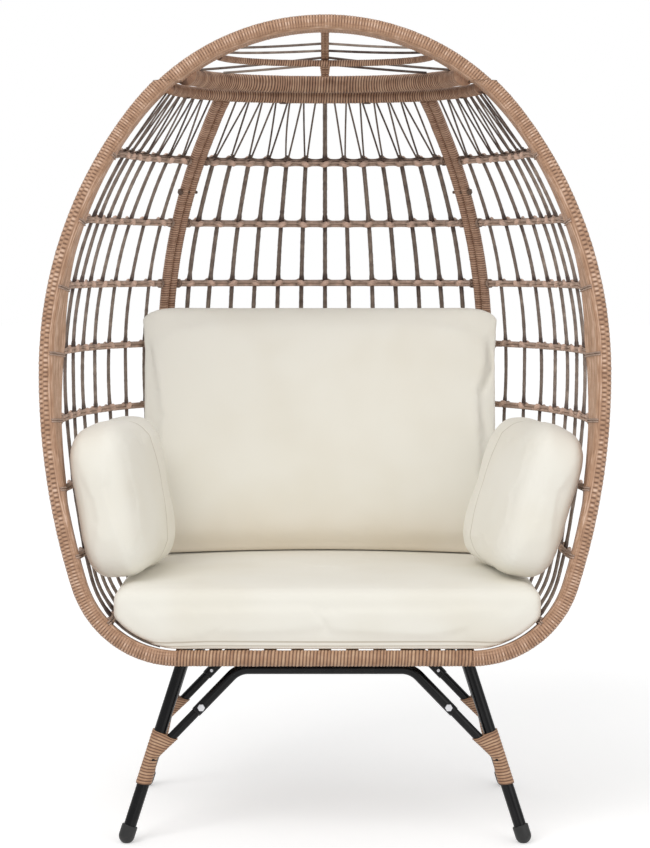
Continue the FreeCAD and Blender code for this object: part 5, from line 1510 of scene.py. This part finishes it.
@dataclass
class Stand:
    """The legs with their rattan wraps and rubber feet, and the two cross bars."""

    palette: Palette
    top_half: float = 0.249
    foot_half: float = 0.345
    top_level: float = 0.313
    front_y: tuple[float, float] = (-0.2166, -0.2686)
    rear_y: tuple[float, float] = (0.0214, 0.1264)
    cap_radius: float = 0.014
    cap_height: float = 0.018
    cap_lip: float = 0.0015
    leg_radius: float = 0.011
    stub_radius: float = 0.008
    stub_low: float = 0.142
    brace_half: float = 0.152
    brace_level: float = 0.298
    brace_radius: float = 0.0095
    brace_bend: float = 0.042
    sleeve: float = 0.112
    wrap_low: float = 0.100
    wrap_high: float = 0.187
    wrap_thickness: float = 0.003
    wrap_widen: float = 0.03
    wrap_tilt: tuple[float, float] = (8.0, 16.0)
    wrap_round: float = 0.12
    wrap_winding: Winding = Winding(0.0050, 0.0009, 0.12, 0.0011, 83)

    def axis(self, end: str) -> tuple[Array, Array]:
        """The foot and the direction of the right-hand leg at the front or the rear."""
        top_y, foot_y = {"front": self.front_y, "rear": self.rear_y}[end]
        foot = np.array([self.foot_half, foot_y, self.cap_radius - self.cap_lip])
        return foot, unit(np.array([self.top_half, top_y, self.top_level]) - foot)

    def at(self, end: str, level: Array) -> Array:
        """Points of the leg's axis at levels."""
        foot, way = self.axis(end)
        return foot + way * ((np.asarray(level)[..., None] - foot[2]) / way[2])

    def stub_way(self, end: str) -> Array:
        """The direction of the stub from the leg to the cross bar."""
        root = self.at(end, np.array(self.stub_low))
        return unit(np.array([self.brace_half, root[1], self.brace_level]) - root)

    def cross_bar(self, end: str) -> None:
        """The bent tube between the stubs of two legs."""
        root = self.at(end, np.array(self.stub_low))
        start = root + self.stub_way(end) * self.sleeve
        corner = np.array([self.brace_half, root[1], self.brace_level])
        flip = np.array([-1, 1, 1])
        path = rounded_path(np.array([start, corner, corner * flip, start * flip]), self.brace_bend, 0.004)
        bundle = Bundle()
        round_strand(bundle, path, np.array([0.0, 1.0, 0.0]), self.brace_radius, 0.5, 28)
        bundle.place(f"{end}_bent_bar", "black_steel", self.palette.steel, f"{end}_cross_bar")

    def cap(self, end: str, side: Side) -> None:
        """A rubber foot turned from a profile: ball, sleeve and rounded lip, flat on the floor."""
        foot, way = self.axis(end)
        ball = np.radians(np.linspace(4, 90, 16))
        lip = np.radians(np.linspace(0, 90, 6))
        sleeve, wide, edge = self.cap_height - self.cap_lip, self.cap_radius, self.cap_lip
        along = join([-wide * np.cos(ball), [0.006, 0.012], sleeve + edge * np.sin(lip)])
        reach = join([wide * np.sin(ball), [wide] * 2, wide - edge + edge * np.cos(lip)])
        first = unit(np.cross(way, UP))
        second = np.cross(way, first)
        turn = np.linspace(0, math.tau, 32, endpoint=False)
        ring = first * np.cos(turn)[:, None] + second * np.sin(turn)[:, None]
        rings = foot + way * along[:, None, None] + ring[None] * reach[:, None, None]
        rings[..., 2] = np.maximum(rings[..., 2], 0.0)
        flip, leg = side is Side.LEFT, f"{side.label}_{end}"
        bundle = Bundle().add_rings(mirror(rings, side), along, np.linspace(0, 1, 33), 0.5, flip=flip)
        bundle.place(f"{leg}_foot", "foot_rubber", self.palette.rubber, f"{leg}_cap")

    def wrap(self, end: str, side: Side) -> None:
        """Rattan wound square to the leg: its inner half goes round the stub above the stub's root."""
        root, stub = self.at(end, np.array(self.stub_low)), self.stub_way(end)
        turn = np.linspace(0, math.tau, 36, endpoint=False) - math.pi / 2
        out = np.cos(turn)[None, :]
        levels = np.arange(self.wrap_low, self.wrap_high, self.wrap_winding.step)
        share = (levels - self.wrap_low) / (self.wrap_high - self.wrap_low)
        tilt = np.tan(np.radians(self.wrap_tilt[0] + self.wrap_tilt[1] * share))[:, None]
        height = np.repeat(levels[:, None], len(turn), axis=1)
        for _ in range(3):
            middle = self.at(end, height)
            run = np.maximum((height - root[2]) / stub[2], 0)[..., None]
            inner = np.where(run > 0, root + stub * run, middle)
            inner[..., 0] = np.minimum(inner[..., 0], middle[..., 0])
            widen = np.clip((height - self.stub_low + self.wrap_widen) / self.wrap_widen, 0, 1)
            narrow = self.leg_radius + (self.stub_radius - self.leg_radius) * widen
            reach = np.where(out >= 0, self.leg_radius, narrow)
            centre = np.where((out >= 0)[..., None], middle, inner)
            height = levels[:, None] + tilt * (centre[..., 0] + reach * out - self.at(end, levels)[:, None, 0])
            height = np.clip(height, self.wrap_low - 0.004, self.wrap_high + 0.004)
        winding, closed = self.wrap_winding, np.zeros(len(turn) + 1)
        swell, phase = winding.wind(levels - levels[0], closed, 1.0)
        reach = reach + self.wrap_thickness - winding.depth + swell[:, :-1]
        rings = centre + np.stack([reach * out / 0.95, reach * np.sin(turn)[None], 0 * reach], axis=-1)
        rings[..., 2] = height
        around = np.linspace(0, 1, len(closed)) * self.wrap_round
        flip, leg = side is Side.LEFT, f"{side.label}_{end}"
        bundle = Bundle().add_rings(mirror(rings, side), phase, around, 0.5, flip=flip)
        bundle.place(f"{leg}_binding", "honey_wicker", self.palette.honey, f"{leg}_wrap")

    def build(self) -> None:
        """The stand, its CAD legs kept under new paint."""
        for end in ("front", "rear"):
            self.cross_bar(end)
            for side in Side:
                self.cap(end, side)
                self.wrap(end, side)


# ------------ cushions


@dataclass(frozen=True)
class Filling:
    """How a cushion swells: the cloth's pressure and slack, its largest move and the size of its mesh."""

    pressure: float = 4.0
    most: float = 0.006
    voxel: float = 0.006
    slack: float = 0.0
    frames: int = 20


def read_points(mesh: Mesh, attribute: str | None = None) -> Array:
    """Coordinates of a mesh, or one of its vector attributes."""
    values = np.zeros(len(mesh.vertices) * 3, np.float32)
    if attribute:
        mesh.attributes[attribute].data.foreach_get("vector", values)
    else:
        mesh.vertices.foreach_get("co", values)
    return values.reshape(-1, 3).astype(float)


def write_points(mesh: Mesh, points: Array) -> None:
    """Sets the coordinates of a mesh."""
    mesh.vertices.foreach_set("co", points.astype(np.float32).reshape(-1))
    mesh.update()


def swell(rings: Array, filling: Filling) -> tuple[Object, Array]:
    """Fills a closed stack of rings by cloth simulation.

    The form is remeshed in even squares, pressed outwards from inside without gravity for 20 frames,
    and each point's move is held to the filling's largest. One subdivision then smooths it.

    Args:
        rings: The cushion's first shape, one ring per row.
        filling: How it swells.

    Returns:
        The swollen cushion, and where each of its points was at rest.
    """
    along, around = np.arange(len(rings), dtype=float), np.linspace(0, 1, rings.shape[1] + 1)
    form = Bundle().add_rings(rings, along, around, 0.5).piece("cushion_form")
    scene = bpy.context.scene
    bpy.context.view_layer.objects.active = form
    form.data.remesh_voxel_size = filling.voxel
    form.data.use_remesh_fix_poles = False
    form.data.use_remesh_preserve_volume = True
    with bpy.context.temp_override(object=form, active_object=form, selected_objects=[form]):
        bpy.ops.object.voxel_remesh()
    rest = moved = read_points(form.data)
    cloth = form.modifiers.new("filling", "CLOTH")
    cloth.settings.use_pressure = True
    cloth.settings.uniform_pressure_force = filling.pressure
    cloth.settings.shrink_min = -filling.slack
    cloth.settings.effector_weights.gravity = 0
    cloth.settings.quality = 4
    cloth.collision_settings.use_collision = False
    cloth.point_cache.frame_end = filling.frames
    for frame in range(1, filling.frames + 1):
        scene.frame_set(frame)
    shift = read_points(form.evaluated_get(bpy.context.evaluated_depsgraph_get()).to_mesh()) - rest
    form.modifiers.remove(cloth)
    scene.frame_set(1)
    size = np.linalg.norm(shift, axis=1, keepdims=True)
    moved = rest + shift * np.minimum(1, filling.most / np.maximum(size, 1e-9))
    write_points(form.data, moved)
    attribute = form.data.attributes.new("rest", "FLOAT_VECTOR", "POINT")
    attribute.data.foreach_set("vector", rest.astype(np.float32).reshape(-1))
    form.modifiers.new("finer", "SUBSURF").levels = 1
    mesh = bpy.data.meshes.new_from_object(form.evaluated_get(bpy.context.evaluated_depsgraph_get()))
    form.modifiers.clear()
    form.data = mesh
    return form, read_points(mesh, "rest")


def settle(levels: Array, floor: float, reach: float = 0.015) -> Array:
    """Heights pressed flat at a cushion's foot: floor + reach * ((z - floor) / reach)^1.8 within reach."""
    share = np.clip((levels - floor) / reach, 0, 1)
    return np.where(levels < floor + reach, floor + reach * share**1.8, levels)


def normals_of(mesh: Mesh) -> Array:
    """The normal at each point."""
    values = np.zeros(len(mesh.vertices) * 3, np.float32)
    mesh.vertex_normals.foreach_get("vector", values)
    return values.reshape(-1, 3).astype(float)


def sew(
    form: Object, distance: Array, twin: float = 0.0, width: float = 0.0035, deep: float = 0.0014
) -> None:
    """A seam: a groove of depth * exp(-(d / width)^2), and the signed distance kept for its fine line.

    Args:
        form: The cushion.
        distance: Signed distance of each point from the seam.
        twin: Half the distance between the two lines of a double seam.
        width: Half width of the groove.
        deep: Depth of the groove.
    """
    mesh = form.data
    apart = np.abs(distance) - twin
    groove = np.exp(-((apart / width) ** 2))
    write_points(mesh, read_points(mesh) - normals_of(mesh) * (deep * groove)[:, None])
    attribute = mesh.attributes.new("stitch", "FLOAT", "POINT")
    attribute.data.foreach_set("value", distance.astype(np.float32))


def fold(points: Array, normals: Array, line: Array, width: float, deep: float) -> Array:
    """A crease in the front of a cushion along a line of X and Z points, with a soft ridge beside it.

    Args:
        points: Points of the cushion.
        normals: Their normals.
        line: X and Z of the crease, one point per row.
        width: Half width of the crease.
        deep: Its depth at the middle; it fades out at both ends.

    Returns:
        The points moved by ridge - groove along their normals.
    """
    run = run_lengths(line)
    at = np.linspace(0, run[-1], 60)
    dense = np.stack([np.interp(at, run, line[:, axis]) for axis in range(2)], axis=1)
    away = points[:, None, [0, 2]] - dense[None]
    size = np.linalg.norm(away, axis=2)
    nearest = size.argmin(axis=1)
    share = at[nearest] / run[-1]
    across = away[np.arange(len(points)), nearest, 0]
    distance = size.min(axis=1)
    fade = np.sin(math.pi * np.clip(share, 0.02, 0.98)) ** 0.7 * np.clip(-normals[:, 1] * 2 - 0.2, 0, 1)
    groove = np.exp(-((distance / width) ** 2))
    ridge = 0.8 * np.exp(-(((distance - 2 * width) / (1.5 * width)) ** 2)) * (across < 0)
    return points + normals * (fade * deep * (ridge - groove))[:, None]


@dataclass
class Cushions:
    """The four loose cushions."""

    palette: Palette
    seat_filling: Filling = Filling(2.0, 0.0022, 0.0065)
    back_filling: Filling = Filling(3.5, 0.006, 0.0065, 0.008)
    pillow_filling: Filling = Filling(3.0, 0.0024, 0.0055)
    seat_low: float = 0.3425
    seat_edge: float = 0.4475
    seat_top: float = 0.4553
    seat_half: float = 0.374
    seat_front: float = -0.3105
    seat_corner: float = 0.014
    seat_edges: tuple[float, float] = (0.005, 0.022)
    seat_dome: float = 0.008
    seat_seam: float = 0.35275
    seat_twin: float = 0.0026
    seat_level: tuple[float, float] = (0.02, 0.10)
    stand_level: float = 0.4561
    back_half: float = 0.349
    back_top: float = 0.933
    back_shift: float = 0.010
    back_thick: float = 0.070
    back_sink: float = 0.017
    back_y: float = 0.1494
    back_bow: float = 0.084
    back_lean: float = math.radians(7)
    back_seam: float = 0.020
    pillow_half: Triple = (0.062, 0.1625, 0.1425)
    pillow_out: float = 0.011
    pillow_soft: float = 0.034
    pillow_power: float = 4.4
    pillow_slant: float = math.radians(57)
    weave_room: float = 0.013
    seat_shift: float = 0.004

    def seat_form(self, shrink: float) -> Array:
        """The boxed seat cushion: plan rings that follow the shell, with soft edges above and below."""
        edge = np.radians(np.linspace(0, 90, 9))
        low_edge, high_edge = self.seat_edges
        low, high = self.seat_low, self.seat_edge
        wall = np.linspace(low + low_edge, high - high_edge, 14)[1:-1]
        levels = join([low + low_edge * (1 - np.cos(edge)), wall, high - high_edge * (1 - np.sin(edge))])
        draw = join([low_edge * (1 - np.sin(edge)), np.zeros(12), high_edge * (1 - np.cos(edge))])
        inner = np.linspace(0.03, 0.34, 9)
        levels = join([np.full(9, low), levels, high + self.seat_dome * (inner / 0.34) ** 0.7])
        draw = join([inner[::-1], draw, inner])
        rings = []
        for level, move in zip(levels, draw):
            rise = (level - SHELL.seat_underside) / math.cos(SHELL.lean)
            inboard = max(0.028, 0.024 + SHELL.band_inset * min(1, rise / 0.25)) + 0.002
            half = min(self.seat_half, float(SHELL.front.half_at(rise, inboard))) - move - shrink
            depth = float(SHELL.profile.half_at(rise, SHELL.rim_radius)) - 0.015
            back = float(SHELL.plane(rise)) + depth - move - shrink
            front = self.seat_front + move + shrink
            power = 2 / float(SHELL.power(rise))
            corner = min(self.seat_corner, half / 6)
            bend = np.radians(np.linspace(-90, 0, 8))
            across, ahead = corner * np.cos(bend), corner * np.sin(bend)
            right = np.stack([half - corner + across, front + corner + ahead], axis=1)
            turn = np.linspace(0, math.pi, 80)[1:-1]
            across = np.sign(np.cos(turn)) * np.abs(np.cos(turn)) ** power
            start = front + corner
            rear = np.stack([half * across, start + (back - start) * np.sin(turn) ** power], axis=1)
            left = right[::-1] * np.array([-1, 1])
            flat = np.linspace(right[0, 0], left[-1, 0], 40)[1:-1]
            face = np.stack([flat[::-1], np.full(38, front)], axis=1)
            plan = join([right, rear, left, face])
            rings.append(join([plan, np.full((len(plan), 1), level)], axis=1))
        return np.array(rings)

    def seat(self) -> None:
        """The seat cushion with its double seam low on the boxing, its crown held under the others."""
        form, rest = swell(self.seat_form(0.003), self.seat_filling)
        sew(form, rest[:, 2] - self.seat_seam, self.seat_twin, 0.0028, 0.0008)
        points = read_points(form.data)
        over = np.maximum(points[:, 2] - self.seat_edge, 0)
        share = over / max(over.max(), 1e-6)
        level = np.clip((points[:, 1] - self.seat_level[0]) / self.seat_level[1], 0, 1)
        share = np.where(over > 0, np.maximum(share, 1e-9) ** (1 - 0.7 * level), 0)
        points[:, 2] -= over - share * (self.seat_top - self.seat_edge)
        points[:, 0] += self.seat_shift
        points[:, 2] = settle(points[:, 2], self.seat_low)
        write_points(form.data, points)
        self.finish(form, "seat_pad_cushion", "seat_pad", "seat_cushion", self.palette.seat_cloth)

    def back_form(self, shrink: float) -> Array:
        """The bowed back cushion: full in the middle, thinner at its edges, its sides drawn in a little."""
        half = self.back_half - 0.003 - shrink
        low = self.stand_level - self.back_sink
        tall = (self.back_top - low) / 2 - shrink
        share = np.sin(np.linspace(-math.pi / 2, math.pi / 2, 61))
        ends = np.abs(share) ** 2
        full = np.sqrt(1 - 0.97 * np.abs(share) ** 6)
        thick = (self.back_thick - shrink) * (1 - 0.5 * ends) * full
        reach = (tall - 0.002 * (1 - ends)) * (1 - 0.09 * np.abs(share) ** 16)
        turn = np.linspace(0, math.tau, 96, endpoint=False)
        up = np.sign(np.sin(turn)) * np.abs(np.sin(turn)) ** 0.50
        deep = np.sign(np.cos(turn)) * np.abs(np.cos(turn)) ** 0.70
        z = (self.back_top + low) / 2 + reach[:, None] * up
        leaning = math.tan(self.back_lean) * (z - self.stand_level)
        y = self.back_y - self.back_bow * share[:, None] ** 2 + leaning + thick[:, None] * deep
        x = np.broadcast_to(half * share[:, None] - self.back_shift, z.shape)
        return np.stack([x, y, z], axis=-1)

    def back(self) -> None:
        """The back cushion, creased at its upper right, its seam round the rear of its edge."""
        form, rest = swell(self.back_form(0.005)[:, ::-1], self.back_filling)
        leaning = math.tan(self.back_lean) * (rest[:, 2] - self.stand_level)
        middle = self.back_y - self.back_bow * (rest[:, 0] / self.back_half) ** 2 + leaning
        sew(form, rest[:, 1] - middle - self.back_seam)
        points = read_points(form.data)
        for line, width, deep in (
            (((0.3139, 0.8623), (0.3215, 0.8053), (0.2987, 0.750)), 0.007, 0.0045),
            (((0.293, 0.754), (0.303, 0.712), (0.312, 0.670)), 0.008, 0.0035),
        ):
            points = fold(points, normals_of(form.data), np.array(line), width, deep)
        points[:, 2] = settle(points[:, 2], self.stand_level)
        write_points(form.data, points)
        self.finish(form, "back_pad_cushion", "back_pad", "back_cushion", self.palette.back_cloth)

    def pillow_form(self, shrink: float) -> Array:
        """A boxed pillow about its own middle: length along Y, height along Z, thickness along X.

        Each ring is |y / length|^4.4 + |z / height|^4.4 = 1, drawn in by radius * (1 - cos) round the edge
        of the side face, and further over the dome of the face. The radius is small in front, larger behind.
        """
        half, long, high = (size - shrink for size in self.pillow_half)
        edge = np.radians(np.linspace(0, 90, 9))
        face, soft, power = 0.90 * half, self.pillow_soft, self.pillow_power
        flat = np.linspace(0, face - soft, 4)[:-1]
        levels = join([flat, face - soft * (1 - np.sin(edge)), np.array([0.95, 0.98, 1.0]) * half])
        round_in = join([np.zeros(3), 1 - np.cos(edge), np.ones(3)])
        further = join([np.zeros(12), [0.03, 0.06, 0.09]])
        levels = join([-levels[:0:-1], levels])
        round_in, further = (join([values[:0:-1], values]) for values in (round_in, further))
        turn = np.linspace(0, math.tau, 96, endpoint=False)
        across, up = np.cos(turn), np.sin(turn)
        radius = np.where(across < 0, soft, 0.060) * across**2 + 0.045 * up**2
        shape = (np.abs(across) ** power + np.abs(up) ** power) ** (-1 / power)
        rings = []
        for level, share, more in zip(levels, round_in, further):
            draw = radius * share + more + 0.004 * np.cos(2 * turn) ** 2
            y, z = across * shape * (long - draw), up * shape * (high - draw)
            rings.append(np.stack([np.full_like(y, level), y, z], axis=1))
        return np.array(rings)

    def pillow(self, side: Side, yaw: float, tilt: float, seam: float) -> None:
        """An arm pillow, turned in at the rear and leaning out at the top.

        Args:
            side: The side of the chair.
            yaw: Degrees that it turns about Z.
            tilt: Degrees that it leans about Y.
            seam: Where the slanting seam crosses the middle of the pillow's length.
        """
        form, rest = swell(self.pillow_form(0.003), self.pillow_filling)
        slant = self.pillow_slant
        sew(form, (rest[:, 1] - seam) * math.cos(slant) + rest[:, 0] * side.value * math.sin(slant))
        lean, turn = math.radians(tilt) * side.value, math.radians(yaw) * side.value
        turned = np.array(Matrix.Rotation(turn, 3, "Z")) @ np.array(Matrix.Rotation(lean, 3, "Y"))
        points = read_points(form.data) @ turned.T
        node = f"{side.label}_pillow"
        low, high = (np.array(corner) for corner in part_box(node))
        points += (low + high) / 2 - (points.min(axis=0) + points.max(axis=0)) / 2
        points[:, 0] += self.pillow_out * side.value
        points = SHELL.held(points, self.weave_room)
        points[:, 2] = np.maximum(points[:, 2], self.stand_level)
        write_points(form.data, points)
        self.finish(form, f"{side.label}_arm_cushion", f"{side.label}_arm_pad", node, self.palette.cloth)

    def finish(self, form: Object, name: str, body: str, node: str, cloth: Material) -> None:
        form.name = form.data.name = name
        form.data.shade_smooth()
        form.data.materials.clear()
        place(form, body, cloth, node)

    def build(self) -> None:
        """All four cushions."""
        self.seat()
        self.back()
        self.pillow(Side.LEFT, 10, 10, -0.040)
        self.pillow(Side.RIGHT, 12, 18, -0.030)


# ------------ studio


@dataclass
class Studio:
    """Pale floor, white surround, soft lamps and the camera at the photograph's angle."""

    camera_at: Triple = (0.0, -3.8646, 1.005)
    lens: float = 87.7
    horizon_row: float = 265.0
    image: tuple[int, int] = (650, 848)
    floor_half: float = 30.0

    def camera(self) -> None:
        """A level camera, shifted down so that its horizon lies on the photograph's."""
        data = bpy.data.cameras.new("camera")
        data.lens = self.lens
        data.sensor_width = 36
        data.shift_y = (self.horizon_row - self.image[1] / 2) / self.image[1]
        data.clip_end = 50
        camera = in_scene("camera", data)
        camera.location = self.camera_at
        camera.rotation_euler = (math.pi / 2, 0, 0)
        bpy.context.scene.camera = camera

    def surround(self) -> None:
        """A world that is white to the camera and to gloss, and a little dimmer as light."""
        world = bpy.data.worlds.new("surround")
        bpy.context.scene.world = world
        work = empty_tree(world)
        path = work.add("ShaderNodeLightPath")
        seen = work.sum("MAXIMUM", path.outputs["Is Camera Ray"], path.outputs["Is Transmission Ray"])
        strength = work.scaled(seen, 0.34, 0.66)
        back = work.add("ShaderNodeBackground", {"Color": (1, 1, 1, 1), "Strength": strength})
        work.add("ShaderNodeOutputWorld", {0: back.outputs[0]})

    def floor(self) -> None:
        """A large pale floor that keeps the shadow and is white to the camera where no shadow falls."""
        mesh = bpy.data.meshes.new("floor")
        edge = self.floor_half
        corners = [(-edge, -edge, 0), (edge, -edge, 0), (edge, edge, 0), (-edge, edge, 0)]
        mesh.from_pydata(corners, [], [(0, 1, 2, 3)])
        floor = in_scene("floor", mesh)
        material = bpy.data.materials.new("pale floor")
        work = empty_tree(material)
        path = work.add("ShaderNodeLightPath")
        seen = work.sum("MAXIMUM", path.outputs["Is Camera Ray"], path.outputs["Is Glossy Ray"])
        away = work.add("ShaderNodeVectorMath", {0: work.object_place()}, operation="LENGTH").outputs["Value"]
        glow = work.times(seen, work.scaled(work.band(away, 0.8, 3.0), 0.12, 0.36))
        glow = work.add("ShaderNodeEmission", {"Color": (1, 1, 1, 1), "Strength": glow})
        pale = work.add("ShaderNodeBsdfDiffuse", {"Color": (0.86, 0.86, 0.86, 1)})
        both = work.add("ShaderNodeAddShader", {0: pale.outputs[0], 1: glow.outputs[0]})
        work.add("ShaderNodeOutputMaterial", {0: both.outputs[0]})
        mesh.materials.append(material)

    def lamp(self, name: str, at: Triple, aim: Triple, size: float, power: float) -> None:
        """A soft square lamp at a point, facing another, with its sides' length and its power in watts."""
        data = bpy.data.lights.new(name, "AREA")
        data.size = size
        data.energy = power
        lamp = in_scene(name, data)
        lamp.location = at
        lamp.rotation_euler = (Vector(aim) - Vector(at)).to_track_quat("-Z", "Y").to_euler()

    def build(self) -> None:
        """Camera, surround, floor and lamps."""
        self.camera()
        self.surround()
        self.floor()
        self.lamp("key", (-1.7, -2.7, 3.5), (0, 0, 0.75), 2.2, 60)
        self.lamp("fill", (2.4, -2.6, 1.6), (0, 0, 0.7), 2.4, 22)
        bpy.context.scene.view_settings.view_transform = "Standard"


def repaint(frame: dict, palette: Palette) -> None:
    """Gives the CAD nodes that stay in view their finishes."""
    legs = [f"{side.label}_{end}_leg" for end in ("front", "rear") for side in Side]
    for names, finish in (
        ([*legs, "seat_frame"], palette.steel),
        (["long_straps", "cross_straps"], palette.strap),
        (["brace_bolts", "frame_bolts"], palette.bolt),
        (["post_bolts", "crown_bolts"], palette.dull_bolt),
    ):
        for slot in (slot for name in names for slot in frame["nodes"][name].material_slots):
            slot.material = finish


def corners(bounds: object) -> list[list[float]]:
    """A box as plain lists."""
    return [[float(value) for value in corner] for corner in bounds]


def main() -> None:
    """Builds the chair and its studio."""
    logging.basicConfig(level=logging.INFO, format="%(message)s", stream=sys.stdout)
    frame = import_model()
    Studio().build()
    palette = Palette.mix()
    repaint(frame, palette)
    for assembly in (Rim, Posts, Weave, Crown, Stand, Cushions):
        assembly(palette).build()


if __name__ == "__main__":
    main()
